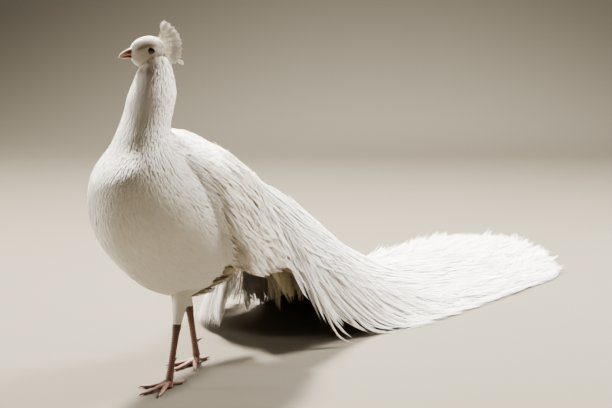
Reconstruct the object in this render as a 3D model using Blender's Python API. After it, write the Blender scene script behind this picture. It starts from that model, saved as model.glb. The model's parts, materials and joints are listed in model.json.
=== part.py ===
"""A white peafowl cock, life size, walking, with its train laid out behind it.

Metres, +Z up. The bird faces -Y and its left side is +X. The origin is the sole of its left foot.
The flesh is a few lofts through tables of cross sections, parted by thin gaps. The feathers of the
wings, the tail and the train are thin vanes laid in layers over two curved sheets.
"""

import bmesh
import bpy
import numpy as np
from mathutils import Vector
from mathutils.bvhtree import BVHTree

GAP = 0.0003  # what touching pieces keep between them
MID_X = -0.035  # the plane that halves the body, between the two feet

# Flesh, from the neck's top to the rump: y, z, tilt of the section in degrees, half depth, half width
BODY = np.array(
    [
        (0.014, 0.790, -6, 0.0255, 0.0230),
        (0.016, 0.768, -4, 0.0340, 0.0300),
        (0.011, 0.738, 0, 0.0490, 0.0435),
        (0.003, 0.703, 2, 0.0600, 0.0540),
        (-0.009, 0.665, 4, 0.0610, 0.0570),
        (-0.025, 0.628, 8, 0.0650, 0.0620),
        (-0.036, 0.597, 15, 0.0800, 0.0730),
        (-0.043, 0.561, 24, 0.1330, 0.0990),
        (-0.022, 0.512, 31, 0.1700, 0.1205),
        (0.011, 0.466, 39, 0.1860, 0.1355),
        (0.066, 0.421, 47, 0.1960, 0.1380),
        (0.118, 0.385, 53, 0.1950, 0.1345),
        (0.185, 0.359, 58, 0.1805, 0.1245),
        (0.238, 0.359, 59, 0.1455, 0.1025),
        (0.295, 0.366, 58, 0.1030, 0.0740),
        (0.341, 0.374, 57, 0.0600, 0.0460),
        (0.374, 0.367, 57, 0.0200, 0.0160),
    ]
)
BODY_AROUND = 18
NECK_TOP, NECK_PART, NECK_BASE, RUMP_START, BODY_END = 0.0, 3.4, 6.0, 12.6, 16.0

# Head: distance forward, height of the middle, half height, half width, in the head's own frame
HEAD = np.array(
    [
        (-0.0210, 0.0210, 0.0050, 0.0040),
        (-0.0180, 0.0215, 0.0140, 0.0110),
        (-0.0110, 0.0220, 0.0240, 0.0185),
        (0.0010, 0.0220, 0.0310, 0.0240),
        (0.0150, 0.0200, 0.0345, 0.0255),
        (0.0280, 0.0170, 0.0345, 0.0240),
        (0.0400, 0.0165, 0.0300, 0.0195),
        (0.0495, 0.0165, 0.0220, 0.0145),
        (0.0560, 0.0175, 0.0135, 0.0100),
    ]
)
HEAD_RINGS = np.linspace(0, len(HEAD) - 1, 11)
HEAD_AROUND = 16
HEAD_PLACE = np.array((MID_X, 0.012, 0.782))
HEAD_YAW = 32  # degrees that the head turns to the bird's right

EYE_FORWARD, EYE_UP, EYE_SIDE, EYE_RADIUS = 0.0105, 0.0215, 0.0195, 0.0075
LID_RADIUS, LID_THICK, LID_SIDE = 0.0078, 0.0013, 0.0238


def spline(at, knots, values):
    """The smooth curve through the values at the knots, a cubic between each two."""
    slopes = np.gradient(values, knots, axis=0)
    index = np.clip(np.searchsorted(knots, at, side="right") - 1, 0, len(knots) - 2)
    step = (knots[index + 1] - knots[index])[:, None]
    t = (at - knots[index])[:, None] / step
    start = values[index] * (1 + 2 * t) * (1 - t) ** 2 + slopes[index] * step * t * (1 - t) ** 2
    end = values[index + 1] * (3 - 2 * t) * t**2 - slopes[index + 1] * step * (1 - t) * t**2
    return start + end


def table_at(table, at):
    """A table's rows at fractional row numbers."""
    return spline(np.asarray(at, float), np.arange(len(table), dtype=float), table)


def object_of(name, points, faces, material):
    """A named object from points and faces, with its faces turned outwards."""
    mesh = bpy.data.meshes.new(name)
    mesh.from_pydata([tuple(p) for p in points], [], faces)
    shape = bmesh.new()
    shape.from_mesh(mesh)
    bmesh.ops.recalc_face_normals(shape, faces=shape.faces)
    shape.to_mesh(mesh)
    shape.free()
    mesh.materials.append(material)
    made = bpy.data.objects.new(name, mesh)
    bpy.context.scene.collection.objects.link(made)
    return made


def loft(name, rings, material):
    """A closed tube through rings of points, with a fan of triangles over each end."""
    count, around = rings.shape[:2]
    faces = []
    for ring in range(count - 1):
        for side in range(around):
            after = (side + 1) % around
            low, high = ring * around, (ring + 1) * around
            faces.append((low + side, low + after, high + after))
            faces.append((low + side, high + after, high + side))
    middles = count * around
    for side in range(around):
        after = (side + 1) % around
        last = (count - 1) * around
        faces.append((after, side, middles))
        faces.append((last + side, last + after, middles + 1))
    points = np.concatenate([rings.reshape(-1, 3), [rings[0].mean(0)], [rings[-1].mean(0)]])
    return object_of(name, points, faces, material)

# Bill, in the head's frame: distance forward, height of the middle, half height, half width
UPPER_BILL = np.array(
    [
        (0.0430, 0.0210, 0.0095, 0.0092),
        (0.0540, 0.0197, 0.0086, 0.0084),
        (0.0630, 0.0173, 0.0072, 0.0069),
        (0.0720, 0.0138, 0.0054, 0.0048),
        (0.0790, 0.0099, 0.0036, 0.0028),
        (0.0825, 0.0061, 0.0014, 0.0012),
    ]
)
LOWER_BILL = np.array(
    [
        (0.0420, 0.0085, 0.0050, 0.0080),
        (0.0530, 0.0077, 0.0044, 0.0072),
        (0.0630, 0.0071, 0.0036, 0.0054),
        (0.0720, 0.0059, 0.0026, 0.0034),
        (0.0770, 0.0051, 0.0012, 0.0016),
    ]
)
MOUTH_BACK, MOUTH_FRONT = (0.040, 0.0123), (0.081, 0.0063)  # the mouth's line: forward, up
MOUTH_GAP = 0.0007
NOSTRIL, NOSTRIL_SIZE = (0.0610, 0.0066, 0.0185), (0.0022, 0.0022, 0.0012)

# Crest: plumes that fan out of a small mound on the crown
CREST_ROOT = (-0.0080, 0.0440)  # forward and up, in the head's frame
CREST_MOUND = 0.0085
CREST_LOW, CREST_HIGH = -60, 74  # degrees above straight back
CREST_LENGTH, CREST_COUNT, CREST_LEAN = 0.060, 14, 9
PLUME_SHARES = (0.08, 0.62, 0.84, 1.00)
PLUME_HALVES = (0.0007, 0.0007, 0.0034, 0.0014)
PLUME_THICK = 0.0009
CREST_LOW_LONGER = 0.18  # how much longer the plumes that hang straight down would be

# Legs: the middle of the sole, the hock, and the thigh from inside the body down to the hock
LEFT_SOLE, LEFT_HOCK = (0.000, 0.000), (0.000, 0.035, 0.1535)
RIGHT_SOLE, RIGHT_HOCK = (-0.085, 0.175), (-0.080, 0.152, 0.1610)
LEFT_THIGH = np.array(
    [
        (0.003, 0.063, 0.300, 0.0400),
        (0.003, 0.058, 0.250, 0.0320),
        (0.002, 0.049, 0.218, 0.0245),
        (0.002, 0.041, 0.188, 0.0174),
        (0.000, 0.035, 0.154, 0.0114),
    ]
)
RIGHT_THIGH = np.array(
    [
        (-0.064, 0.095, 0.310, 0.0400),
        (-0.068, 0.106, 0.262, 0.0340),
        (-0.072, 0.120, 0.228, 0.0255),
        (-0.076, 0.136, 0.196, 0.0172),
        (-0.080, 0.152, 0.1615, 0.0114),
    ]
)
ANKLE_HEIGHT = 0.0215
SHANK_RADII = (0.0098, 0.0104, 0.0084, 0.0074, 0.0070, 0.0074, 0.0084)
PAD_RADII = (0.0082, 0.0090, 0.0105, 0.0120, 0.0105)
SHANK_STEPS = (0.0, 0.07, 0.2, 0.45, 0.7, 0.88, 1.0)
TOES = {"inner": (-46, 0.056), "middle": (-4, 0.072), "outer": (30, 0.062), "hind": (176, 0.044)}
TOE_RADIUS, CLAW_LENGTH = 0.0058, 0.0150
TOE_SHAPE = (1.10, 0.88, 0.96, 0.82, 0.66)
SPUR_HEIGHT, SPUR_LENGTH, SPUR_RADIUS = 0.062, 0.019, 0.0052

# Wing, as lines across it from the shoulder to the tip. Each row: the lower edge's distance out
# from the body's middle plane, y, z, then the upper edge's, then how far the line bulges out.
WING = np.array(
    [
        (0.100, -0.040, 0.475, 0.058, 0.018, 0.596, 0.018),
        (0.130, -0.008, 0.415, 0.048, 0.070, 0.598, 0.034),
        (0.142, 0.040, 0.365, 0.040, 0.125, 0.586, 0.042),
        (0.143, 0.098, 0.318, 0.034, 0.180, 0.564, 0.044),
        (0.136, 0.160, 0.280, 0.030, 0.235, 0.535, 0.042),
        (0.120, 0.222, 0.251, 0.030, 0.287, 0.498, 0.036),
        (0.104, 0.285, 0.239, 0.044, 0.330, 0.445, 0.026),
        (0.095, 0.335, 0.240, 0.064, 0.358, 0.370, 0.016),
        (0.090, 0.372, 0.246, 0.084, 0.376, 0.280, 0.006),
    ]
)

WING_CLEAR = (0.006, 0.008, 0.009, 0.010, 0.020, 0.020, 0.016, 0.016, 0.016)  # clear of the flesh

# Train, as lines across it from the back to its tips. Each row: y, x of the middle, half width,
# height of the ridge and height of the two edges.
TRAIN = np.array(
    [
        (0.270, -0.035, 0.042, 0.460, 0.410),
        (0.330, -0.037, 0.050, 0.444, 0.350),
        (0.390, -0.043, 0.080, 0.407, 0.235),
        (0.450, -0.056, 0.142, 0.377, 0.105),
        (0.530, -0.080, 0.200, 0.330, 0.015),
        (0.640, -0.103, 0.237, 0.257, 0.000),
        (0.800, -0.121, 0.264, 0.166, 0.000),
        (1.020, -0.132, 0.287, 0.095, 0.000),
        (1.300, -0.148, 0.320, 0.050, 0.000),
        (1.640, -0.162, 0.346, 0.026, 0.000),
        (1.990, -0.182, 0.370, 0.014, 0.000),
    ]
)
RIDGE_POWER = 1.35
FLAT_FROM = 0.93  # share of the half width outside which the train lies flat on the floor
EDGE_SQUEEZE = 0.40  # how much closer the layers lie at the train's edges than along its ridge

# Each half of the tail and the train: the lines its root pad spans, the number of cells across it,
# its lowest and highest height over the sheet, and its tiers of feathers. A tier is its height, the
# number of feathers on this side, the length of the middle ones and how far across they go.
TRAIN_NODES = {
    "tail": ((1.4, 2.3), 5, (-0.0130, -0.0020), ((-0.0050, 3, 0.43, 0.64), (-0.0105, 2, 0.40, 0.48))),
    "train_long": (
        (1.3, 2.3),
        7,
        (-0.0010, 0.0155),
        ((0.0006, 5, 1.67, 1.00), (0.0070, 4, 1.49, 0.80), (0.0135, 3, 1.29, 0.66)),
    ),
    "train_middle": (
        (0.5, 1.4),
        5,
        (0.0188, 0.0355),
        ((0.0205, 4, 1.06, 0.70), (0.0270, 3, 0.90, 0.60), (0.0335, 3, 0.76, 0.54)),
    ),
    "train_short": (
        (0.0, 0.8),
        4,
        (0.0388, 0.0530),
        ((0.0402, 3, 0.60, 0.56), (0.0458, 3, 0.44, 0.50), (0.0514, 2, 0.30, 0.42)),
    ),
}
PAD_CELL = 0.14  # how far across one cell of a root pad goes
SIDE_LIFT = 0.5  # how far out sideways the layers are stacked, as a share of square to the sheet
MIDDLE_GAP = 0.006  # share of the half width left between the left and right halves
ROOT_SUNK, ROOT_OUT = 0.35, 0.15  # how far each tier's root strip goes into its pad and out of it, in lines
SIDE_SHORTER = 0.25  # how much shorter the outermost feathers of a tier are
VANE_THICK, VANE_FILL, VANE_TIP = 0.0008, 0.88, 0.022
VANE_SHARES = (0.0, 0.12, 0.60, 0.94, 1.0)
VANE_WIDTHS = (0.76, 0.84, 0.94, 0.98, 0.35)

# Wing: the lines its flesh spans, and its rows of coverts as the line each starts at, the number of
# feathers and their length. The flight feathers come out of a pad behind the flesh.
WING_FLESH, WING_CUTS = (0.0, 4.40), 6
COVERT_ROWS = ((0.30, 5, 0.115), (1.55, 5, 0.135), (2.90, 5, 0.170))
COVERT_STRIP = 0.55  # how far the strip that joins a row's roots goes, in lines
COVERT_SLOPE, COVERT_SUNK = 0.062, 0.0016
FLIGHT_PAD, FLIGHT_PAD_HEIGHTS = (4.42, 5.0), (-0.0105, -0.0012)
FLIGHT_COUNT, FLIGHT_LEVELS = 8, (-0.0042, -0.0078)
FLIGHT_START, FLIGHT_LOW, FLIGHT_HIGH = 4.65, 0.175, 0.185  # root line, lengths at both edges
ACROSS = np.linspace(-1, 1, 41)


def plate(name, top, bottom, faces, material):
    """A closed plate between two like lists of points, split into the same triangles on both faces."""
    half = len(top)
    edges = {(one, two) for face in faces for one, two in zip(face, face[1:] + face[:1])}
    shell = faces + [(half + three, half + two, half + one) for one, two, three in faces]
    for one, two in edges:
        if (two, one) not in edges:
            shell += [(two, one, half + one), (two, half + one, half + two)]
    return object_of(name, [*top, *bottom], shell, material)


def grid_faces(rows, across, first=0):
    """Two triangles for each cell of a grid of points numbered row by row."""
    corners = [first + row * across + place for row in range(rows - 1) for place in range(across - 1)]
    halves = [((a, a + 1, a + across + 1), (a, a + across + 1, a + across)) for a in corners]
    return [face for pair in halves for face in pair]


def finish_of(name, colour, roughness):
    """A plain material."""
    made = bpy.data.materials.new(name)
    made.use_nodes = True
    shader = made.node_tree.nodes["Principled BSDF"]
    shader.inputs["Base Color"].default_value = (*colour, 1)
    shader.inputs["Roughness"].default_value = roughness
    shader.inputs["Metallic"].default_value = 0.0
    made.diffuse_color = (*colour, 1)
    return made


def settle(made):
    """Applies an object's modifiers and keeps the closed surface that holds the most."""
    bpy.context.view_layer.update()
    graph = bpy.context.evaluated_depsgraph_get()
    mesh = bpy.data.meshes.new_from_object(made.evaluated_get(graph))
    made.modifiers.clear()
    shape = bmesh.new()
    shape.from_mesh(mesh)
    left, surfaces = set(shape.faces), []
    while left:
        surface, edge_of = [], [left.pop()]
        while edge_of:
            face = edge_of.pop()
            surface.append(face)
            near = {other for edge in face.edges for other in edge.link_faces} & left
            left -= near
            edge_of.extend(near)
        surfaces.append(surface)
    held = [sum(f.calc_area() * f.normal.dot(f.calc_center_median()) for f in s) for s in surfaces]
    for number, surface in enumerate(surfaces):
        if number != int(np.argmax(held)):
            bmesh.ops.delete(shape, geom=surface, context="FACES")
    shape.to_mesh(mesh)
    shape.free()
    made.data = mesh
    return made


def cut(made, *cutters, solver="EXACT"):
    """Takes the cutters' shapes out of an object."""
    for cutter in cutters:
        modifier = made.modifiers.new("cut", "BOOLEAN")
        modifier.operation = "DIFFERENCE"
        modifier.object = cutter
        modifier.solver = solver
    settle(made)
    for cutter in cutters:
        bpy.data.objects.remove(cutter)
    return made


def fuse(made, pieces, solver="EXACT"):
    """Joins pieces to an object with one union."""
    group = bpy.data.collections.new(made.name + "_pieces")
    bpy.context.scene.collection.children.link(group)
    for piece in pieces:
        bpy.context.scene.collection.objects.unlink(piece)
        group.objects.link(piece)
    modifier = made.modifiers.new("join", "BOOLEAN")
    modifier.operation = "UNION"
    modifier.operand_type = "COLLECTION"
    modifier.collection = group
    modifier.solver = solver
    settle(made)
    for piece in pieces:
        bpy.data.objects.remove(piece)
    bpy.data.collections.remove(group)
    return made


def body_rings(stations, grow=0.0, around=BODY_AROUND):
    """Rings round the flesh at fractional rows of BODY, pushed outwards by grow."""
    y, z, tilt, deep, wide = table_at(BODY, stations).T[:, :, None]
    angle = np.linspace(0, 2 * np.pi, around, endpoint=False)[None, :]
    tilt = np.radians(tilt)
    ahead = (deep + grow) * np.cos(angle)
    x = MID_X + (wide + grow) * np.sin(angle)
    return np.stack([x, y - ahead * np.cos(tilt), z - ahead * np.sin(tilt)], axis=2)


def body_piece(name, start, end, material, grow=0.0):
    """The flesh between two fractional rows of BODY, with rings at every half row in between."""
    halves = np.arange(np.floor(start * 2) + 1, np.ceil(end * 2)) / 2
    return loft(name, body_rings([start, *halves, end], grow), material)


def head_space(points):
    """Points given as forward, left and up in the head's frame, in the model's frame."""
    yaw = np.radians(HEAD_YAW)
    forward = np.array((-np.sin(yaw), -np.cos(yaw), 0))
    left = np.array((np.cos(yaw), -np.sin(yaw), 0))
    points = np.asarray(points, float)
    place = points[..., :1] * forward + points[..., 1:2] * left
    place = place + points[..., 2:] * np.array((0, 0, 1))
    return HEAD_PLACE + place


def head_rings(table, stations, around, grow=0.0):
    """Rings round the head or bill in the head's frame."""
    forward, middle, tall, wide = table_at(table, stations).T[:, :, None]
    angle = np.linspace(0, 2 * np.pi, around, endpoint=False)[None, :]
    side = (wide + grow) * np.sin(angle)
    up = middle + (tall + grow) * np.cos(angle)
    return np.stack([forward + 0 * angle, side, up], axis=2)


def ball(name, centre, radii, material, rings=4, around=10):
    """An ellipsoid on the model's axes."""
    turn = np.linspace(0, np.pi, rings + 2)[1:-1, None]
    angle = np.linspace(0, 2 * np.pi, around, endpoint=False)[None, :]
    shape = [np.sin(turn) * np.cos(angle), np.sin(turn) * np.sin(angle), np.cos(turn) + 0 * angle]
    ring_points = np.stack(shape, axis=2) * np.asarray(radii) + np.asarray(centre)
    made = loft(name, ring_points, material)
    poles = made.data.vertices
    poles[rings * around].co = np.asarray(centre) + (0, 0, radii[2])
    poles[rings * around + 1].co = np.asarray(centre) - (0, 0, radii[2])
    return made


def limb(name, path, radii, around, material, floor=None):
    """A round tube along a path, its rings square to the path, kept above the floor if one is given."""
    path = np.asarray(path, float)
    along = np.gradient(path, axis=0)
    along /= np.linalg.norm(along, axis=1)[:, None]
    side = np.cross(along, (0, 0, 1.0))
    if abs(along[:, 2]).min() > 0.9:
        side = np.cross(along, (0, 1.0, 0))
    side /= np.linalg.norm(side, axis=1)[:, None]
    up = np.cross(side, along)
    angle = np.linspace(0, 2 * np.pi, around, endpoint=False)[None, :, None]
    radii = np.asarray(radii)[:, None, None]
    rings = path[:, None] + radii * (np.cos(angle) * up[:, None] + np.sin(angle) * side[:, None])
    if floor is not None:
        rings[..., 2] = np.maximum(rings[..., 2], floor)
    return loft(name, rings, material)


def sheet_from_wing(torso, roots):
    """The left wing's sheet, kept clear of the torso and outside the roots of the train: a grid of
    points and their outward directions."""
    share = (ACROSS[None, :, None] + 1) / 2
    low, high, bulge = WING[:, None, 0:3], WING[:, None, 3:6], WING[:, None, 6:7]
    chord = high - low
    along = np.gradient((low + high) / 2, axis=0)
    out = np.cross(along, chord)
    out /= np.linalg.norm(out, axis=2)[..., None]
    points = low + chord * share + out * bulge * 4 * share * (1 - share)
    points[..., 0] += MID_X
    torso, roots = tree_of(torso), tree_of(roots)
    for row, line in enumerate(points):
        for place, point in enumerate(line):
            nearest, outward, _, _ = torso.find_nearest(point)
            short = WING_CLEAR[row] - (Vector(point) - nearest).dot(outward)
            if short > 0:
                line[place] = np.array(nearest) + np.array(outward) * WING_CLEAR[row]
            side = roots.ray_cast((1, *line[place][1:]), (-1, 0, 0))[0]
            if side:
                line[place][0] = max(line[place][0], side[0] + WING_CLEAR[row])
    return points, lifts_of(points)


def tree_of(made):
    """An object's faces, for finding the nearest point on it."""
    return BVHTree.FromPolygons([v.co for v in made.data.vertices], [p.vertices for p in made.data.polygons])


def lifts_of(points):
    """Unit directions square to a grid of points, on the side that faces out of the left wing."""
    across = np.gradient(points, axis=1)
    along = np.gradient(points, axis=0)
    lift = np.cross(along, across)
    return lift / np.linalg.norm(lift, axis=2)[..., None]


def sheet_from_train():
    """The train's sheet, a tent over the tail that flattens out on the floor."""
    y, middle, half, ridge, edge = TRAIN.T[:, :, None]
    t = ACROSS[None, :]
    tent = (1 - np.minimum(np.abs(t) / FLAT_FROM, 1) ** 2) ** RIDGE_POWER
    points = np.stack([middle + half * t, y + 0 * t, edge + (ridge - edge) * tent], axis=2)
    squeeze = 1 - EDGE_SQUEEZE * t[..., None] ** 2
    lifts = lifts_of(points) * -squeeze
    lifts[..., 0] *= SIDE_LIFT
    return points, lifts


def on_sheet(sheet, line, t, height):
    """The point at a fractional line, a place across and a height over the sheet."""
    points, lifts = sheet
    low = int(np.clip(np.floor(line), 0, len(points) - 2))
    share = line - low
    found = []
    for grid in (points, lifts):
        ends = [[np.interp(t, ACROSS, grid[row][:, axis]) for axis in range(3)] for row in (low, low + 1)]
        found.append(np.array(ends[0]) * (1 - share) + np.array(ends[1]) * share)
    return found[0] + found[1] * height


def slab(name, sheet, lines, across, low, high, material, cuts):
    """A closed slab over part of a sheet, between two heights over it, each a number for both ends."""
    first, last = lines
    stations = [first, *range(int(first) + 1, int(np.ceil(last))), last]
    places = np.linspace(*across, cuts + 1)
    lows, highs = (np.interp(stations, (first, last), ends) for ends in (low, high))
    bottom, top = (
        [on_sheet(sheet, line, t, h) for line, h in zip(stations, heights) for t in places]
        for heights in (lows, highs)
    )
    return plate(name, top, bottom, grid_faces(len(stations), cuts + 1), material)


def stations_along(sheet, start, opening, t, length):
    """The lines where a feather of this length has its cross sections, and its share of length there."""
    lines = np.array([start, opening, *range(int(opening) + 1, len(sheet[0]))])
    spots = np.array([on_sheet(sheet, line, t, 0) for line in lines])
    run = np.append(0, np.cumsum(np.linalg.norm(np.diff(spots, axis=0), axis=1)))
    length = min(length, run[-1])
    marks = [*run[run < length - 1.5 * VANE_TIP], length - VANE_TIP, length]
    return np.interp(marks, run, lines), np.array(marks) / length


def comb(sheet, start, opening, feathers, height, material, rise=0.0):
    """A tier of thin feathers along a sheet, joined in one strip from their roots to the opening line.
    A feather is its place across, half width and length, and the half width is negative where they
    are listed towards the right. It rises by rise from its root to its tip."""
    top, bottom, faces, before = [], [], [], None
    for t, half, length in feathers:
        first = len(top)
        lines, shares = stations_along(sheet, start, opening, t, length)
        halves = half * np.interp(shares, VANE_SHARES, VANE_WIDTHS)
        for line, reach, level in zip(lines, halves, height + rise * shares):
            for place in (t - reach, t + reach):
                top.append(on_sheet(sheet, line, place, level + VANE_THICK / 2))
                bottom.append(on_sheet(sheet, line, place, level - VANE_THICK / 2))
        faces += grid_faces(len(lines), 2, first)
        if before is not None:
            a, b, c, d = before + 1, first, before + 3, first + 2
            faces += [(a, b, d), (a, d, c)]
        before = first
    return plate("tier", top, bottom, faces, material)


def make_head(plumage, horn, eye_finish):
    """The head with its eyes and the skin round them, the bill and the crest."""
    rings = head_rings(HEAD, HEAD_RINGS, HEAD_AROUND)
    head = loft("head", head_space(rings), plumage)
    fuse(head, [eyelid(side, plumage) for side in (1, -1)])
    for side, name in ((1, "left"), (-1, "right")):
        centre = head_space((EYE_FORWARD, side * EYE_SIDE, EYE_UP))
        ball("eye_" + name, centre, [EYE_RADIUS] * 3, eye_finish)
        cut(head, ball("socket", centre, [EYE_RADIUS + GAP] * 3, plumage))
    make_bill(horn)
    make_crest(plumage)


def eyelid(side, material):
    """A low ring of skin round one eye."""
    around = np.linspace(0, 2 * np.pi, 13)[:, None]
    tube = np.linspace(0, 2 * np.pi, 5)[:-1][None, :]
    reach = LID_RADIUS + LID_THICK * np.cos(tube)
    forward = EYE_FORWARD + reach * np.cos(around)
    up = EYE_UP + reach * 0.85 * np.sin(around)
    out = side * (LID_SIDE + LID_THICK * np.sin(tube)) + 0 * around
    ring = head_space(np.stack([forward, out, up], axis=2))[:-1]
    count, sides = ring.shape[:2]
    faces = []
    for row in range(count):
        for column in range(sides):
            a, b = row * sides + column, row * sides + (column + 1) % sides
            c, d = ((row + 1) % count) * sides + column, ((row + 1) % count) * sides + (column + 1) % sides
            faces += [(a, b, d), (a, d, c)]
    return object_of("lid", ring.reshape(-1, 3), faces, material)


def make_crest(plumage):
    """The crest, plume by plume: bare shafts that lean three ways and end in small vanes."""
    mound = ball("crest", head_space((CREST_ROOT[0], 0, CREST_ROOT[1])), [CREST_MOUND] * 3, plumage)
    plumes = []
    for number, angle in enumerate(np.linspace(CREST_LOW, CREST_HIGH, CREST_COUNT)):
        lean = np.radians(CREST_LEAN * (number % 3 - 1))
        angle = np.radians(angle)
        way = np.array((-np.cos(angle) * np.cos(lean), np.sin(lean), np.sin(angle) * np.cos(lean)))
        broad = np.array((np.sin(angle), 0, np.cos(angle)))
        thick = np.cross(way, broad) * PLUME_THICK / 2
        length = CREST_LENGTH * (1 + 0.06 * np.sin(number * 2.4) - CREST_LOW_LONGER * min(np.sin(angle), 0))
        middle = np.array((CREST_ROOT[0], 0, CREST_ROOT[1])) + way * length * np.array(PLUME_SHARES)[:, None]
        halves = np.array(PLUME_HALVES)[:, None] * broad
        edges = np.stack([middle + halves, middle - halves], axis=1).reshape(-1, 3)
        faces = grid_faces(len(middle), 2)
        plumes.append(plate("plume", head_space(edges + thick), head_space(edges - thick), faces, plumage))
    fuse(mound, plumes, "MANIFOLD")
    cut(mound, head_cutter(plumage), solver="MANIFOLD")


def head_cutter(material):
    """The head's shape, a gap larger all round."""
    rings = head_rings(HEAD, HEAD_RINGS, HEAD_AROUND, GAP)
    rings[-1, :, 0] += GAP
    return loft("head_cutter", head_space(rings), material)


def mouth_line(forward):
    """The height of the mouth's line in the head's frame."""
    return np.interp(forward, *np.transpose([MOUTH_BACK, MOUTH_FRONT]))


def make_bill(horn):
    """The upper and lower bill, which meet along the mouth's line and end at the head."""
    for name, table, upper in (("bill_upper", UPPER_BILL, True), ("bill_lower", LOWER_BILL, False)):
        rings = head_rings(table, np.linspace(0, len(table) - 1, 8), 12)
        line = mouth_line(rings[..., 0])
        if upper:
            rings[..., 2] = np.maximum(rings[..., 2], line)
        else:
            rings[..., 2] = np.minimum(rings[..., 2], line - MOUTH_GAP)
        made = cut(loft(name, head_space(rings), horn), head_cutter(horn))
        if upper:
            for side in (1, -1):
                place = head_space((NOSTRIL[0], side * NOSTRIL[1], NOSTRIL[2]))
                cut(made, ball("nostril", place, NOSTRIL_SIZE, horn, 3, 6))


def make_neck_and_torso(plumage):
    """The neck in two lengths, the torso and the rump, parted by thin gaps."""
    part = 0.006
    neck = body_piece("neck_upper", NECK_TOP, NECK_PART - part, plumage)
    cut(neck, head_cutter(plumage))
    body_piece("neck_lower", NECK_PART + part, NECK_BASE - part, plumage)
    body_piece("torso", NECK_BASE + part, RUMP_START - part, plumage)
    body_piece("rump", RUMP_START + part, BODY_END, plumage)


def torso_cutter(material):
    """The shape of the body from the neck's base back, a gap larger all round."""
    return body_piece("torso_cutter", 4, BODY_END, material, GAP * 2)


def level_rings(middle, radii, around=10):
    """Round level rings about a line of middles."""
    angle = np.linspace(0, 2 * np.pi, around, endpoint=False)[None, :]
    ring = np.stack([np.sin(angle), np.cos(angle), 0 * angle], axis=2)
    return middle[:, None] + ring * np.array(radii)[:, None, None]


def make_leg(name, sole, hock, thigh, side, plumage, scale, horn):
    """A thigh, shank, spur, foot and four claws. side is 1 for the left leg and -1 for the right."""
    rows = table_at(thigh, np.linspace(0, len(thigh) - 1, 7))
    leg = loft("thigh_" + name, level_rings(rows[:, :3], rows[:, 3], 14), plumage)
    cut(leg, torso_cutter(plumage))
    ankle = np.array((*sole, ANKLE_HEIGHT)) + (0, 0.006, 0)
    steps = np.array(SHANK_STEPS)[:, None]
    top = np.array(hock) - (0, 0, GAP * 2)
    middle = top + (ankle - top) * steps
    loft("shank_" + name, level_rings(middle, SHANK_RADII), scale)
    make_foot(name, sole, side, scale, horn)
    make_spur(name, middle, side, horn)


def make_foot(name, sole, side, scale, horn):
    """The sole's pad with its toes, and a claw at the end of each toe."""
    sole = np.array((*sole, 0.0))
    drop = np.linspace(1, 0, 5)
    middle = sole + np.stack([0 * drop, 0.006 * drop, (ANKLE_HEIGHT - GAP) * drop], axis=1)
    pad = loft("foot_" + name, level_rings(middle, PAD_RADII), scale)
    toes = []
    for toe, (degrees, length) in TOES.items():
        heading = np.radians(degrees) * side
        way = np.array((np.sin(heading), -np.cos(heading), 0))
        reach = np.linspace(0.004, length, len(TOE_SHAPE))
        lift = TOE_RADIUS * 0.80 + 0.008 * np.linspace(1, 0, len(TOE_SHAPE)) ** 2
        path = sole + way * reach[:, None] + np.stack([0 * lift, 0 * lift, lift], axis=1)
        toes.append(limb("toe", path, TOE_RADIUS * np.array(TOE_SHAPE), 7, scale, floor=0.0))
        start = path[-1] + way * GAP * 1.5
        bend = np.linspace(0, 1, 4)[:, None]
        claw = start + way * CLAW_LENGTH * bend - np.array((0, 0, 0.0030)) * bend**2
        limb(f"claw_{name}_{toe}", claw, TOE_RADIUS * np.linspace(0.60, 0.12, 4), 6, horn, floor=0.0)
    fuse(pad, toes)


def make_spur(name, middle, side, horn):
    """The short horn at the back of the shank."""
    share = np.interp(SPUR_HEIGHT, middle[::-1, 2], np.array(SHANK_STEPS)[::-1])
    start = np.array([np.interp(share, SHANK_STEPS, middle[:, axis]) for axis in range(3)])
    step = np.linspace(0, 1, 4)[:, None]
    way, rise = np.array((-0.25 * side, 1.0, 0.0)), np.array((0, 0, 0.004))
    path = start + way * (SPUR_LENGTH * step + 0.004) + rise * step**2
    spur = limb("spur_" + name, path, SPUR_RADIUS * np.linspace(1, 0.15, 4), 7, horn)
    cut(spur, loft("shank_cutter", level_rings(middle, np.array(SHANK_RADII) + GAP), horn))


def mirrored(made, name):
    """A copy of an object on the other side of the body's middle plane."""
    points = np.array([v.co for v in made.data.vertices])
    points[:, 0] = 2 * MID_X - points[:, 0]
    faces = [tuple(reversed(p.vertices)) for p in made.data.polygons]
    return object_of(name, points, faces, made.data.materials[0])


def make_wings(plumage, sheet):
    """Each wing's flesh with its rows of coverts, and its flight feathers behind, the right mirrored."""
    inner, outer = (-0.030, -0.012), (0.0, 0.0)
    wing = slab("wing_left", sheet, WING_FLESH, (-1, 1), inner, outer, plumage, WING_CUTS)
    cut(wing, torso_cutter(plumage), solver="MANIFOLD")
    rows = []
    for start, count, length in COVERT_ROWS:
        feathers = [(t, VANE_FILL * 0.98 / count, length) for t in middles(count, 0.98)]
        opening = start + COVERT_STRIP
        rows.append(comb(sheet, start, opening, feathers, -COVERT_SUNK, plumage, COVERT_SLOPE * length))
    fuse(wing, rows, "MANIFOLD")
    mirrored(wing, "wing_right")

    low, high = FLIGHT_PAD_HEIGHTS
    flight = slab("flight_left", sheet, FLIGHT_PAD, (-1, 1), (low, low), (high, high), plumage, WING_CUTS)
    tiers = []
    places = middles(FLIGHT_COUNT, 0.98)
    lengths = np.interp(places, (-1, 1), (FLIGHT_LOW, FLIGHT_HIGH))
    half = 1.3 * 0.98 / FLIGHT_COUNT
    for layer, height in enumerate(FLIGHT_LEVELS):
        feathers = [(t, half, length) for t, length in zip(places[layer::2], lengths[layer::2])]
        tiers.append(comb(sheet, FLIGHT_START, FLIGHT_PAD[1] + ROOT_OUT, feathers, height, plumage))
    fuse(flight, tiers, "MANIFOLD")
    mirrored(flight, "flight_right")


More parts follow.
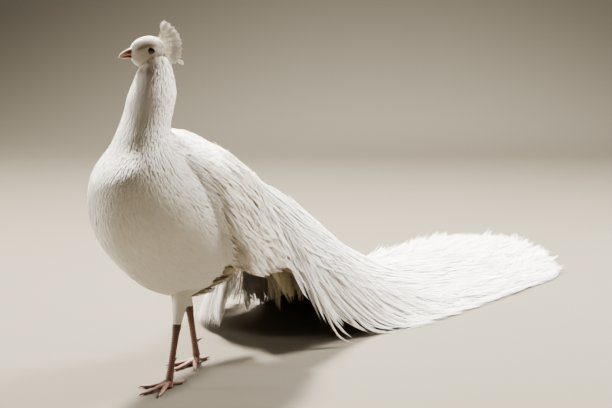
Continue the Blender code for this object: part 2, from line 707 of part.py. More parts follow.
def middles(count, reach):
    """Places across for the middles of feathers that fill the sheet out to a reach."""
    return reach * ((2 * np.arange(count) + 1) / count - 1)


def train_roots(material):
    """The space that the roots of the train fill."""
    low, high = TRAIN_NODES["tail"][2][0], TRAIN_NODES["train_short"][2][1]
    lines, cells = (0.0, 3.0), TRAIN_NODES["train_middle"][1]
    across = (-cells * PAD_CELL, cells * PAD_CELL)
    return slab("roots", sheet_from_train(), lines, across, (low, low), (high, high), material, 2 * cells)


def make_train(plumage):
    """The tail and the three lengths of train over it, each in a left and a right half."""
    sheet = sheet_from_train()
    chance = np.random.default_rng(11)
    for name, (lines, cells, heights, tiers) in TRAIN_NODES.items():
        for side, half_name in ((1, "left"), (-1, "right")):
            across = (side * MIDDLE_GAP, side * cells * PAD_CELL)
            low, high = heights
            pad = slab(f"{name}_{half_name}", sheet, lines, across, (low, low), (high, high), plumage, cells)
            combs = []
            for height, count, length, spread in tiers:
                half = spread / count / 2
                places = half * (2 * np.arange(count) + 1)
                grown = length * (1 - SIDE_SHORTER * places**2) * chance.uniform(0.95, 1.03, count)
                feathers = [(side * t, side * half * VANE_FILL, run) for t, run in zip(places, grown)]
                root, opening = lines[1] - ROOT_SUNK, lines[1] + ROOT_OUT
                combs.append(comb(sheet, root, opening, feathers, height, plumage))
            fuse(pad, combs, "MANIFOLD")
            cut(pad, torso_cutter(plumage), solver="MANIFOLD")


def main():
    for old in list(bpy.data.objects):
        bpy.data.objects.remove(old)
    plumage = finish_of("plumage", (0.87, 0.85, 0.80), 0.75)
    scale = finish_of("scaled_skin", (0.46, 0.34, 0.30), 0.6)
    horn = finish_of("horn", (0.62, 0.50, 0.42), 0.45)
    eye_finish = finish_of("eye", (0.05, 0.03, 0.025), 0.08)
    make_head(plumage, horn, eye_finish)
    make_neck_and_torso(plumage)
    make_leg("left", LEFT_SOLE, LEFT_HOCK, LEFT_THIGH, 1, plumage, scale, horn)
    make_leg("right", RIGHT_SOLE, RIGHT_HOCK, RIGHT_THIGH, -1, plumage, scale, horn)
    torso, roots = torso_cutter(plumage), train_roots(plumage)
    make_wings(plumage, sheet_from_wing(torso, roots))
    bpy.data.objects.remove(torso)
    bpy.data.objects.remove(roots)
    make_train(plumage)


main()
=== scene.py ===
# %% [markdown]
# # A white peafowl in feather mesh
# This lesson dresses a life-size model of a white peafowl cock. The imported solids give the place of
# every part. Over them go one smooth skin, then coats of thin feathers, all worked out with numpy.

# %% Load the fixed model
import json
import bpy
import numpy as np
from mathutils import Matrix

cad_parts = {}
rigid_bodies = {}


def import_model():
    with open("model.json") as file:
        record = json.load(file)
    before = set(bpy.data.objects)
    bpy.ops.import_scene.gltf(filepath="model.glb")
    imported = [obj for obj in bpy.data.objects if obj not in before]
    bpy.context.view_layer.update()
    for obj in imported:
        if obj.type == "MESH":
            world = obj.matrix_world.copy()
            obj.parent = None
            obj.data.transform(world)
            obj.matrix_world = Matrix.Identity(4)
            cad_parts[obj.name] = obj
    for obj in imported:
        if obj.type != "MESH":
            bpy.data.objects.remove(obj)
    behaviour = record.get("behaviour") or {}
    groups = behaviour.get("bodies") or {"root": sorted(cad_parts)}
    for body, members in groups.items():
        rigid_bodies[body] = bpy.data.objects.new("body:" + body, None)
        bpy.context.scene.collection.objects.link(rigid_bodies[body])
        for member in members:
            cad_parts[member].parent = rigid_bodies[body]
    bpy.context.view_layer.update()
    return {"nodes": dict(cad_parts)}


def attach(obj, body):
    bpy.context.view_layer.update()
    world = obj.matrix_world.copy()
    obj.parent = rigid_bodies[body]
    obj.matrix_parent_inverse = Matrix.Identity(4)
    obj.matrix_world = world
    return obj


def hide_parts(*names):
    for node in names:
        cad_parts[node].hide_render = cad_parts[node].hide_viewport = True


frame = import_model()
chance = np.random.default_rng(7)
print("solids:", len(frame["nodes"]))

# %% [markdown]
# ## Camera, floor and light
# The main light stands high, to the picture's left and beyond the bird. So the crown, back and train
# are bright, and the breast lies in soft warm shade. A weak lamp draws the rim of the neck, a second
# high one reaches the train's near side, and a warm one near the camera fills the shade. The last
# lights the backdrop.

# %% Place the camera where the photograph was taken
AZIMUTH, PITCH, FOCAL_PX, WIDTH_PX = 40.0, 9.9, 1169.0, 612.0
CAMERA_PLACE = (1.983, -1.847, 0.918)
SENSOR_MM = 36.0

camera_data = bpy.data.cameras.new("camera")
camera_data.sensor_width = SENSOR_MM
camera_data.lens = FOCAL_PX / WIDTH_PX * SENSOR_MM
camera_data.clip_start = 0.05
camera = bpy.data.objects.new("camera", camera_data)
camera.location = CAMERA_PLACE
camera.rotation_euler = (np.radians(90 - PITCH), 0, np.radians(AZIMUTH))
bpy.context.scene.collection.objects.link(camera)
bpy.context.scene.camera = camera
print("lens mm:", round(camera_data.lens, 2))


# %% Set the lamps
def lamp(name, place, aim, power, size, colour):
    """A square area lamp at a place, turned so that it faces the aim."""
    data = bpy.data.lights.new(name, "AREA")
    data.energy, data.size, data.color = power, size, colour
    made = bpy.data.objects.new(name, data)
    made.location = place
    away = np.array(place) - np.array(aim)
    tilt, turn = np.arctan2(np.hypot(away[0], away[1]), away[2]), np.arctan2(away[0], -away[1])
    made.rotation_euler = (tilt, 0, turn)
    bpy.context.scene.collection.objects.link(made)


lamp("sun", (-1.71, 0.94, 4.00), (0.0, 0.5, 0.3), 1120, 0.6, (1.0, 0.955, 0.88))
lamp("left_rim", (-2.6, -1.6, 1.3), (0.0, 0.1, 0.55), 95, 0.8, (1.0, 0.96, 0.90))
lamp("top_right", (1.0, 2.5, 2.9), (0.0, 0.8, 0.3), 410, 0.8, (1.0, 0.97, 0.92))
lamp("fill", (2.6, -2.6, 1.0), (0.0, 0.0, 0.4), 8, 2.0, (1.0, 0.78, 0.50))
lamp("backdrop", (-2.6, 4.6, 3.2), (-6.0, 8.6, 1.6), 420, 3.0, (1.0, 0.98, 0.94))
SKY_COLOUR, SKY_STRENGTH = (0.84, 0.83, 0.80, 1), 0.05
world = bpy.data.worlds.new("world")
world.use_nodes = True
world.node_tree.nodes["Background"].inputs["Color"].default_value = SKY_COLOUR
world.node_tree.nodes["Background"].inputs["Strength"].default_value = SKY_STRENGTH
bpy.context.scene.world = world
bpy.context.scene.view_settings.look = "AgX - Medium High Contrast"


# %% Lay the floor
def shader_of(name, colour, roughness):
    """A new material and its Principled shader."""
    made = bpy.data.materials.new(name)
    made.use_nodes = True
    shader = made.node_tree.nodes["Principled BSDF"]
    shader.inputs["Base Color"].default_value = (*colour, 1)
    shader.inputs["Roughness"].default_value = roughness
    made.diffuse_color = (*colour, 1)
    return made, shader


NEAR, BEND_AT, BEND, WALL = -6.0, 5.0, 9.0, 3.0
HALF_WIDE, FLOOR_ACROSS, FLOOR_ROWS, BEND_ROWS = 12.0, 9, 14, 24


def grid_faces(rows, across):
    """Squares between the points of an open grid, numbered row after row."""
    row, place = np.meshgrid(np.arange(rows - 1), np.arange(across - 1), indexing="ij")
    corner = row * across + place
    return np.stack([corner, corner + 1, corner + across + 1, corner + across], -1).reshape(-1, 4)


def sweep(along, across):
    """A studio sweep: flat to BEND_AT, then a quarter of a circle of radius BEND, then a wall, with
    along the distance on it. It faces the camera's azimuth and is as wide as across."""
    turned = np.clip((along - BEND_AT) / BEND, 0, np.pi / 2)
    ahead = np.minimum(along, BEND_AT) + BEND * np.sin(turned)
    high = BEND * (1 - np.cos(turned)) + np.maximum(along - BEND_AT - BEND * np.pi / 2, 0)
    way = np.radians(AZIMUTH)
    x, y = across * np.cos(way) - ahead * np.sin(way), across * np.sin(way) + ahead * np.cos(way)
    return np.stack([x, y, high + 0 * across], -1)


bend_rows = BEND_AT + np.linspace(0, BEND * np.pi / 2, BEND_ROWS)
along = np.unique(np.append(np.linspace(NEAR, BEND_AT, FLOOR_ROWS), bend_rows))
along = np.append(along, along[-1] + WALL)
points = sweep(along[:, None], np.linspace(-HALF_WIDE, HALF_WIDE, FLOOR_ACROSS)[None, :])
floor_mesh = bpy.data.meshes.new("floor")
floor_mesh.from_pydata(points.reshape(-1, 3), [], grid_faces(*points.shape[:2]).tolist())
floor_mesh.shade_smooth()
floor_mesh.materials.append(shader_of("floor", (0.135, 0.120, 0.092), 0.9)[0])
floor = bpy.data.objects.new("floor", floor_mesh)
bpy.context.scene.collection.objects.link(floor)
print("lamps:", [light.name for light in bpy.data.lights])

# %% [markdown]
# ## Surfaces as functions
# Each part of the bird is a function of two numbers: how far along it, and how far round or across
# it. The numbers come from short tables of cross sections, with a smooth curve through them. Skin and
# feathers use the same functions, so feathers always sit on their skin.

# %% Curves through tables
MID_X = -0.035


def table_at(table, at):
    """Rows of a table at fractional row numbers. Between two rows each column follows a cubic whose
    slopes at the rows are half the step between the rows on both sides. Past the last row it goes
    straight on."""
    table = np.asarray(table, float)
    slopes = np.gradient(table, axis=0)
    at = np.maximum(np.asarray(at, float), 0)
    past = np.maximum(at - (len(table) - 1), 0)[..., None]
    at = np.minimum(at, len(table) - 1)
    low = np.clip(np.floor(at).astype(int), 0, len(table) - 2)
    t = (at - low)[..., None]
    start = table[low] * (1 + 2 * t) * (1 - t) ** 2 + slopes[low] * t * (1 - t) ** 2
    return start + table[low + 1] * (3 - 2 * t) * t**2 - slopes[low + 1] * (1 - t) * t**2 + slopes[-1] * past


# %% The body, from the neck's top to the rump: y, z, tilt in degrees, half depth, half width
BODY = [
    (0.014, 0.790, -6, 0.0255, 0.0230),
    (0.016, 0.768, -4, 0.0340, 0.0300),
    (0.011, 0.738, 0, 0.0490, 0.0435),
    (0.003, 0.703, 2, 0.0600, 0.0540),
    (-0.009, 0.665, 4, 0.0610, 0.0570),
    (-0.025, 0.628, 8, 0.0650, 0.0620),
    (-0.036, 0.597, 15, 0.0800, 0.0730),
    (-0.043, 0.561, 24, 0.1330, 0.0990),
    (-0.022, 0.512, 31, 0.1700, 0.1205),
    (0.011, 0.466, 39, 0.1860, 0.1355),
    (0.066, 0.421, 47, 0.1960, 0.1380),
    (0.118, 0.385, 53, 0.1950, 0.1345),
    (0.185, 0.359, 58, 0.1805, 0.1245),
    (0.238, 0.359, 59, 0.1455, 0.1025),
    (0.295, 0.366, 58, 0.1030, 0.0740),
    (0.341, 0.374, 57, 0.0600, 0.0460),
    (0.374, 0.367, 57, 0.0200, 0.0160),
]
BODY_END = len(BODY) - 1.0


def body(row, angle, depth=0.0):
    """A point on the body: an oval ring tilted about its width, at an angle round it from the front,
    pulled in by a depth."""
    y, z, tilt, deep, wide = np.moveaxis(table_at(BODY, row), -1, 0)
    tilt = np.radians(tilt)
    ahead = (deep - depth) * np.cos(angle)
    side = MID_X + (wide - depth) * np.sin(angle)
    return np.stack([side, y - ahead * np.cos(tilt), z - ahead * np.sin(tilt)], -1)


# %% The head, in its own frame: distance forward, height of the middle, half height, half width
HEAD = [
    (-0.0210, 0.0210, 0.0050, 0.0040),
    (-0.0180, 0.0215, 0.0140, 0.0110),
    (-0.0110, 0.0220, 0.0240, 0.0185),
    (0.0010, 0.0220, 0.0310, 0.0240),
    (0.0150, 0.0200, 0.0345, 0.0255),
    (0.0280, 0.0170, 0.0345, 0.0240),
    (0.0400, 0.0165, 0.0300, 0.0195),
    (0.0495, 0.0165, 0.0220, 0.0145),
    (0.0560, 0.0175, 0.0135, 0.0100),
]
HEAD_END = len(HEAD) - 1.0
HEAD_PLACE, HEAD_YAW = np.array((MID_X, 0.012, 0.782)), np.radians(32)
HEAD_AHEAD = np.array((-np.sin(HEAD_YAW), -np.cos(HEAD_YAW), 0.0))
HEAD_LEFT = np.array((np.cos(HEAD_YAW), -np.sin(HEAD_YAW), 0.0))
UP = np.array((0.0, 0.0, 1.0))


def head_space(ahead, left, up):
    """A point given ahead, to the left and up in the head's frame."""
    way = [np.asarray(part, float)[..., None] for part in np.broadcast_arrays(ahead, left, up)]
    return HEAD_PLACE + way[0] * HEAD_AHEAD + way[1] * HEAD_LEFT + way[2] * UP


def head(row, angle, depth=0.0):
    """A point on the head: an upright oval ring at a distance ahead, at an angle round from the top."""
    ahead, middle, tall, wide = np.moveaxis(table_at(HEAD, row), -1, 0)
    left = np.maximum(wide - depth, 0.001) * np.sin(angle)
    return head_space(ahead, left, middle + np.maximum(tall - depth, 0.001) * np.cos(angle))


# %% The thighs, from inside the body to the hock: x, y, z, radius
THIGHS = {
    "left": [
        (0.003, 0.063, 0.300, 0.0400),
        (0.003, 0.058, 0.250, 0.0320),
        (0.002, 0.049, 0.218, 0.0245),
        (0.002, 0.041, 0.188, 0.0174),
        (0.000, 0.035, 0.154, 0.0114),
    ],
    "right": [
        (-0.064, 0.095, 0.310, 0.0400),
        (-0.068, 0.106, 0.262, 0.0340),
        (-0.072, 0.120, 0.228, 0.0255),
        (-0.076, 0.136, 0.196, 0.0172),
        (-0.080, 0.152, 0.1615, 0.0114),
    ],
}


def thigh_of(side):
    """The surface of one thigh: level round rings about a line of middles."""

    def thigh(row, angle, depth=0.0):
        x, y, z, radius = np.moveaxis(table_at(THIGHS[side], row), -1, 0)
        out = radius - depth
        return np.stack([x + out * np.sin(angle), y + out * np.cos(angle), z + 0 * angle], -1)

    return thigh


# %% [markdown]
# The train is a tent: a ridge that falls from the back to the floor, with two sides that sink to the
# floor and run out flat. The photograph shows its far side spread wider than its near side.

# %% The train: y, x of the middle, half width, height of the ridge, height of the edges
TRAIN = [
    (0.270, -0.035, 0.042, 0.486, 0.410),
    (0.330, -0.037, 0.052, 0.480, 0.350),
    (0.390, -0.043, 0.086, 0.440, 0.235),
    (0.450, -0.056, 0.146, 0.416, 0.105),
    (0.530, -0.080, 0.203, 0.374, 0.015),
    (0.640, -0.103, 0.238, 0.310, 0.000),
    (0.800, -0.121, 0.264, 0.202, 0.000),
    (1.020, -0.132, 0.287, 0.110, 0.000),
    (1.300, -0.148, 0.320, 0.064, 0.000),
    (1.640, -0.162, 0.346, 0.038, 0.000),
    (1.990, -0.182, 0.370, 0.024, 0.000),
]
RIDGE_POWER, FLAT_FROM = 1.35, 0.93
TRAIN_END = len(TRAIN) - 1.0


def train(line, across, height=0.0):
    """A point on the train's sheet. Across a line it is a tent, one minus the square of the distance
    from the middle to a power, that lies level at the height of the edge outside its foot."""
    y, middle, half, ridge, edge = np.moveaxis(table_at(TRAIN, line), -1, 0)
    tent = (1 - np.minimum(np.abs(across) / FLAT_FROM, 1) ** 2) ** RIDGE_POWER
    return np.stack([middle + half * across, y + 0 * across, edge + (ridge - edge) * tent + height], -1)


def slab(line, across, deep):
    """The train's sheet as closed rings: from side to side on top, then back again lower by a depth."""
    return np.concatenate([train(line, across), train(line, across[:, ::-1], -deep)], 1)


print("body:", body(8.0, 0.0).round(3), "head:", head(4.0, 0.0).round(3))

# %% [markdown]
# ## Turning arrays into meshes
# A surface becomes a grid of squares, closed where it goes round. A feather is a thin spindle: a few
# three-cornered rings from root to tip, flat below and ridged above by its shaft. A coat of thousands
# of feathers is one array of points with one pattern of faces repeated, so no loop runs over points.

# %% Make an object from arrays
def full_circle(count):
    """Angles spread evenly over a full turn."""
    return np.linspace(0, 2 * np.pi, count, endpoint=False)


def keep_tones(mesh, tones):
    """Four shares for each point of a mesh, kept as its attribute named tone."""
    kept = mesh.color_attributes.new("tone", "FLOAT_COLOR", "POINT")
    kept.data.foreach_set("color", tones.astype(np.float32).ravel())


def tones_of(along, marked, count):
    """The four shares of a piece's finish, from how far along and how marked each point is."""
    return np.stack(np.broadcast_arrays(0.5, along, 0.5, marked), -1).reshape(count, 4)


def read(mesh, field):
    """The places or the normals of a mesh's points."""
    found = np.empty(len(mesh.vertices) * 3, np.float32)
    mesh.vertices.foreach_get(field, found)
    return found.reshape(-1, 3).astype(float)


def piece_of(name, points, faces, material, bake_uv=None, tone=None):
    """An object from an array of points and an array of faces with equal numbers of corners. bake_uv
    holds a place on the coat's unwrap for each point, and tone four shares for its finish."""
    mesh = bpy.data.meshes.new(name)
    corners = faces.shape[1]
    mesh.vertices.add(len(points))
    mesh.vertices.foreach_set("co", np.ascontiguousarray(points, np.float32).ravel())
    mesh.loops.add(faces.size)
    mesh.loops.foreach_set("vertex_index", faces.astype(np.int32).ravel())
    mesh.polygons.add(len(faces))
    mesh.polygons.foreach_set("loop_start", np.arange(len(faces), dtype=np.int32) * corners)
    mesh.update(calc_edges=True)
    mesh.shade_smooth()
    if bake_uv is not None:
        layer = mesh.uv_layers.new(name="OFBake")
        layer.uv.foreach_set("vector", bake_uv[faces.ravel()].astype(np.float32).ravel())
    if tone is not None:
        keep_tones(mesh, tone)
    mesh.materials.append(material)
    made = bpy.data.objects.new(name, mesh)
    bpy.context.scene.collection.objects.link(made)
    return made


def tube_faces(rows, around):
    """Squares between rows of points that close round, each row numbered after the last."""
    row, place = np.meshgrid(np.arange(rows - 1), np.arange(around), indexing="ij")
    here, after = row * around + place, row * around + (place + 1) % around
    return np.stack([here, after, after + around, here + around], -1).reshape(-1, 4)


def joined(tubes):
    """The points and square faces of several tubes of rings, as one pair of arrays. The two ends of
    each tube are drawn in to a point."""
    points, faces, start = [], [], 0
    for rings in tubes:
        first, last = (np.broadcast_to(rings[end].mean(0), rings[end].shape)[None] for end in (0, -1))
        rings = np.concatenate([first, rings, last])
        points.append(rings.reshape(-1, 3))
        faces.append(tube_faces(*rings.shape[:2]) + start)
        start += len(points[-1])
    return np.concatenate(points), np.concatenate(faces)


def melted(name, tubes, material, voxel, times):
    """Tubes melted into one closed skin by a voxel remesh, and smoothed so many times."""
    made = piece_of(name, *joined(tubes), material)
    remesh = made.modifiers.new("melt", "REMESH")
    remesh.mode, remesh.voxel_size, remesh.use_smooth_shade = "VOXEL", voxel, True
    smooth = made.modifiers.new("smooth", "SMOOTH")
    smooth.factor, smooth.iterations = 0.5, times
    bpy.context.view_layer.update()
    mesh = bpy.data.meshes.new_from_object(made.evaluated_get(bpy.context.evaluated_depsgraph_get()))
    made.modifiers.clear()
    made.data = mesh
    return made


# %% Spread places over a surface
SCATTER_GRID = (161, 121)
PLASTIC = (0.7548776662, 0.5698402910)  # the plastic number to the powers of -1 and -2


def unit(vectors):
    """Vectors divided by their lengths."""
    return vectors / np.maximum(np.linalg.norm(vectors, axis=-1, keepdims=True), 1e-9)


def dot(one, two):
    """The sum of the products of two vectors' parts."""
    return (one * two).sum(-1, keepdims=True)


def scatter(surface, lows, highs, gap, rule=None):
    """Places spread evenly over a surface, a gap apart, which is a number or changes with the place.
    The area of each cell of a fine grid over the gap squared is the number of places in it. A sequence
    that steps by the plastic number's powers fills the grid in that proportion, so the places never
    clump. A rule may then choose some of them."""
    s, a = np.meshgrid(*(np.linspace(*part) for part in zip(lows, highs, SCATTER_GRID)), indexing="ij")
    points = surface(s, a)
    along, across = np.diff(points, axis=0)[:, :-1], np.diff(points, axis=1)[:-1]
    gaps = np.broadcast_to(gap(s, a) if callable(gap) else gap, s.shape)[:-1, :-1]
    wanted = np.linalg.norm(np.cross(along, across), axis=-1) / gaps**2
    number = np.arange(int(wanted.sum()))
    u, v = ((0.5 + number * step) % 1 for step in PLASTIC)
    rows = np.append(0, np.cumsum(wanted.sum(1))) / wanted.sum()
    place = np.interp(u, rows, np.arange(len(rows)))
    row = np.clip(place.astype(int), 0, wanted.shape[0] - 1)
    shares = np.cumsum(wanted, axis=1) / np.maximum(wanted.sum(1, keepdims=True), 1e-12)
    column = np.searchsorted((shares + 2 * np.arange(len(shares))[:, None]).ravel(), 2 * row + v)
    column = np.clip(column - row * shares.shape[1], 0, shares.shape[1] - 1)
    before = np.where(column > 0, shares[row, column - 1], 0)
    within = np.clip((v - before) / np.maximum(shares[row, column] - before, 1e-9), 0, 1)
    found_s = lows[0] + (highs[0] - lows[0]) * place / wanted.shape[0]
    found_a = lows[1] + (highs[1] - lows[1]) * (column + within) / wanted.shape[1]
    chosen = slice(None) if rule is None else rule(found_s, found_a)
    return found_s[chosen], found_a[chosen]


# %% Grow feathers along a surface
MOST_STEP, FARTHEST = 0.7, 1.4  # limits of a step: in a surface's own numbers, and in step lengths


def lie(surface, s, a, flip=1.0):
    """The point, the two steps along the surface's own numbers, and the outward way at places."""
    step = 1e-3
    here = surface(s, a)
    by_s = (surface(s + step, a) - surface(s - step, a)) / (2 * step)
    by_a = (surface(s, a + step) - surface(s, a - step)) / (2 * step)
    return here, by_s, by_a, unit(np.cross(by_s, by_a)) * flip


def grow(surface, s, a, length, turn=0.0, bend=0.0, low=0.0, rise=0.0, pull=(0, 0, 0), stations=4, flip=1.0):
    """Centre lines of feathers that follow a surface. Each goes the way its first number grows, turned
    by turn at its root and by bend more at its tip, with a pull added. It starts at low over the
    surface and ends rise higher. Returns points, ways across and ways out, one of each per station."""
    s, a = np.array(s, float), np.array(a, float)
    before = None
    turn, bend, low, rise = (np.broadcast_to(value, s.shape)[:, None] for value in (turn, bend, low, rise))
    step = (np.broadcast_to(length, s.shape) / (stations - 1))[:, None]
    points, sides, outs = [], [], []
    for share in np.linspace(0, 1, stations):
        here, by_s, by_a, out = lie(surface, s, a, flip)
        if before is not None:
            moved = np.linalg.norm(here - before[0], axis=-1)
            kept = np.minimum(1, FARTHEST * step[:, 0] / np.maximum(moved, 1e-9))
            s, a = before[1] + (s - before[1]) * kept, before[2] + (a - before[2]) * kept
            here, by_s, by_a, out = lie(surface, s, a, flip)
        before = here, s, a
        along = unit(by_s)
        across = np.cross(out, along)
        angle = turn + bend * share
        way = along * np.cos(angle) + across * np.sin(angle) + np.asarray(pull)
        way = unit(way - dot(way, out) * out)
        points.append(here + out * (low + rise * share**1.5))
        sides.append(np.cross(out, way))
        outs.append(out)
        ss, sa, aa = dot(by_s, by_s), dot(by_s, by_a), dot(by_a, by_a)
        ws, wa = dot(way, by_s), dot(way, by_a)
        whole = np.maximum(ss * aa - sa * sa, 1e-12)
        s = s + np.clip(step * (ws * aa - wa * sa) / whole, -MOST_STEP, MOST_STEP)[:, 0]
        a = a + np.clip(step * (wa * ss - ws * sa) / whole, -MOST_STEP, MOST_STEP)[:, 0]
    return np.stack(points, 1), np.stack(sides, 1), np.stack(outs, 1)


# %% Part feathers into strands
def tufted(lines, count, spread, gather, shorter=0.2):
    """Each centre line becomes a tuft of count strands. They stand apart by spread at the root and by
    the share gather of that at the tip, and end up to the share shorter before it."""
    points, sides, outs = (np.repeat(part, count, axis=0) for part in lines)
    number, stations = points.shape[:2]
    share = np.linspace(0, 1, stations)[None, :, None]
    off = chance.normal(size=(number, 1, 2)) * spread * (1 - (1 - gather) * share)
    points = points + sides * off[..., :1] + outs * np.abs(off[..., 1:]) * 0.5
    cut = 1 - shorter * chance.random((number, 1))
    at = np.linspace(0, 1, stations)[None, :] * cut * (stations - 1)
    low = np.minimum(at.astype(int), stations - 2)
    part = (at - low)[..., None]
    pick = np.arange(number)[:, None]
    return tuple(f[pick, low] * (1 - part) + f[pick, low + 1] * part for f in (points, sides, outs))


# %% Make vanes along centre lines
PATCH = 0.003  # how wide the patch of one feather is on its coat's unwrap
UNWRAP_FROM, UNWRAP_SPAN = 0.004, 0.992  # where the patches' middles lie on it
KEEL_ANGLE = 1.3  # an edge sharper than this parts a vane's top from its underside
SHORT_SHAPE, DOWN_SHAPE = (0.6, 1.0, 0.7), (0.7, 1.0, 0.8, 0.5)
STRAND = (0.8, 1.0, 0.9, 0.7, 0.45)


def vanes(name, lines, half, thick, shape, roots, material, shade_share=0.0):
    """One closed spindle for each centre line. Its rings have a left, a right and a top corner, their
    half width is half times shape along it, and it ends in a point. roots are places from 0 to 1 and
    zone says how much painted shade it carries, one for each line or for each tuft of them."""
    points, sides, outs = lines
    number, stations = points.shape[:2]
    tufts = len(roots[0])
    roots = [np.repeat(part, number // tufts) for part in roots]
    shade_share = np.repeat(np.broadcast_to(shade_share, (tufts,)), number // tufts)
    rings = stations - 1
    half = np.broadcast_to(half, (number,))[:, None, None] * np.asarray(shape)[None, :rings, None]
    thick = np.broadcast_to(thick, (number,))[:, None, None] * np.asarray(shape)[None, :rings, None]
    middle, side, out = points[:, :rings], sides[:, :rings], outs[:, :rings]
    corners = np.stack([middle - side * half, middle + side * half, middle + out * thick], 2)
    solid = np.concatenate([corners.reshape(number, -1, 3), points[:, -1:]], 1)
    ring = np.arange(rings - 1)[:, None] * 3
    one, two = np.array([0, 1, 2]), np.array([1, 2, 0])
    walls = np.stack([ring + one, ring + two, ring + two + 3, ring + one + 3], -1).reshape(-1, 4)
    walls = np.concatenate([walls[:, [0, 1, 2]], walls[:, [0, 2, 3]]])
    last, tip = (rings - 1) * 3, rings * 3
    ends = np.array([[last, last + 1, tip], [last + 1, last + 2, tip], [last + 2, last, tip], [0, 2, 1]])
    pattern = np.concatenate([walls, ends])
    faces = (pattern[None] + (np.arange(number) * (tip + 1))[:, None, None]).reshape(-1, 3)
    along = np.append(np.repeat(np.linspace(0, 1, stations)[:rings], 3), 1.0)
    beside = np.append(np.tile([0.0, 1.0, 0.5], rings), 0.5)
    spot = np.stack([beside, along], -1) - 0.5
    spot = UNWRAP_FROM + UNWRAP_SPAN * np.stack(roots, -1)[:, None] + PATCH * spot[None]
    tone = np.empty((number, tip + 1, 4))
    tone[..., 0] = chance.random((number, 1))
    tone[..., 1], tone[..., 2], tone[..., 3] = along, beside, shade_share[:, None]
    made = piece_of(name, solid.reshape(-1, 3), faces, material, spot.reshape(-1, 2), tone.reshape(-1, 4))
    made.data.set_sharp_from_angle(angle=KEEL_ANGLE)
    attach(made, "root")
    print(name, number, "feathers,", len(faces), "triangles")
    return made


# %% [markdown]
# ## Finishes
# White feathers aren't one white. Each is painted a little darker at its root, as painted shade where
# roots lie under other feathers, and warm and bright at its tip, and no two are quite alike. Fine ridges
# run out from the shaft as barbs. One node group makes all of this from the shares kept on each feather,
# mixes in each coat's painted shade by another kept share, and every coat has its own colours.

# %% Small helpers for shader nodes
def add(tree, kind, **settings):
    """A node of a kind with some of its settings given."""
    node = tree.nodes.new(kind)
    for key, value in settings.items():
        setattr(node, key, value)
    return node


def maths(tree, operation, one, two=None):
    """A Math node that works on sockets or numbers, and its result."""
    node = add(tree, "ShaderNodeMath", operation=operation)
    for socket, value in zip(node.inputs, (one, two)):
        if isinstance(value, (int, float)):
            socket.default_value = value
        elif value is not None:
            tree.links.new(value, socket)
    return node.outputs[0]


def blend_of(tree, share, one, two, kind="MIX"):
    """A colour mixed from two sockets or colours by a share."""
    node = add(tree, "ShaderNodeMix", data_type="RGBA", blend_type=kind)
    for socket, value in zip((node.inputs[0], node.inputs[6], node.inputs[7]), (share, one, two)):
        if isinstance(value, bpy.types.NodeSocket):
            tree.links.new(value, socket)
        else:
            socket.default_value = value if isinstance(value, (int, float)) else (*value[:3], 1)
    return node.outputs[2]


def group_of(name, inputs, outputs):
    """A new node group with named sockets, and its input and output nodes."""
    tree = bpy.data.node_groups.new(name, "ShaderNodeTree")
    for title, kind in inputs:
        tree.interface.new_socket(title, in_out="INPUT", socket_type=kind)
    for title, kind in outputs:
        tree.interface.new_socket(title, in_out="OUTPUT", socket_type=kind)
    return tree, add(tree, "NodeGroupInput"), add(tree, "NodeGroupOutput")


# %% The barbs, tones and painted shade of a feather as one node group
CLOUD_SIZE, CLOUD_DETAIL, FADE, DULLNESS, DULL = 22.0, 3.0, 0.6, 0.12, (0.66, 0.60, 0.50)
RIDGES_ALONG, RIDGES_SLANT, RIDGE_DEEP = 90.0, 16.0, 0.0004
COLOUR, NUMBER, WAY = "NodeSocketColor", "NodeSocketFloat", "NodeSocketVector"
barbs, given, made_here = group_of(
    "feather",
    [
        ("Tone", COLOUR),
        ("Root", COLOUR),
        ("Tip", COLOUR),
        ("Painted_shade_colour", COLOUR),
        ("Painted_shade_amount", NUMBER),
        ("Place", WAY),
    ],
    [("Colour", COLOUR), ("Roughness", NUMBER), ("Height", NUMBER)],
)
parts = add(barbs, "ShaderNodeSeparateColor")
barbs.links.new(given.outputs["Tone"], parts.inputs[0])
own, along, beside = parts.outputs
cloud = add(barbs, "ShaderNodeTexNoise")
cloud.inputs["Scale"].default_value = CLOUD_SIZE
cloud.inputs["Detail"].default_value = CLOUD_DETAIL
barbs.links.new(given.outputs["Place"], cloud.inputs["Vector"])
# From root to tip: the darker root colour is painted shade, where roots lie under other feathers.
fade = maths(barbs, "POWER", along, FADE)
plain = blend_of(barbs, fade, given.outputs["Root"], given.outputs["Tip"])
dull = maths(barbs, "MULTIPLY", maths(barbs, "ADD", own, cloud.outputs["Fac"]), DULLNESS)
varied = blend_of(barbs, dull, plain, DULL, "MULTIPLY")
# The kept share mixes in the coat's colour of painted shade.
marked = blend_of(barbs, given.outputs["Painted_shade_amount"], varied, given.outputs["Painted_shade_colour"], "MULTIPLY")
barbs.links.new(marked, made_here.inputs["Colour"])
slant = maths(barbs, "ABSOLUTE", maths(barbs, "SUBTRACT", beside, 0.5))
ridges_along = maths(barbs, "MULTIPLY", along, RIDGES_ALONG)
ridges = maths(barbs, "ADD", ridges_along, maths(barbs, "MULTIPLY", slant, RIDGES_SLANT))
wave = maths(barbs, "SINE", ridges)
barbs.links.new(wave, made_here.inputs["Height"])
rough = maths(barbs, "ADD", 0.62, maths(barbs, "MULTIPLY", cloud.outputs["Fac"], 0.3))
barbs.links.new(rough, made_here.inputs["Roughness"])


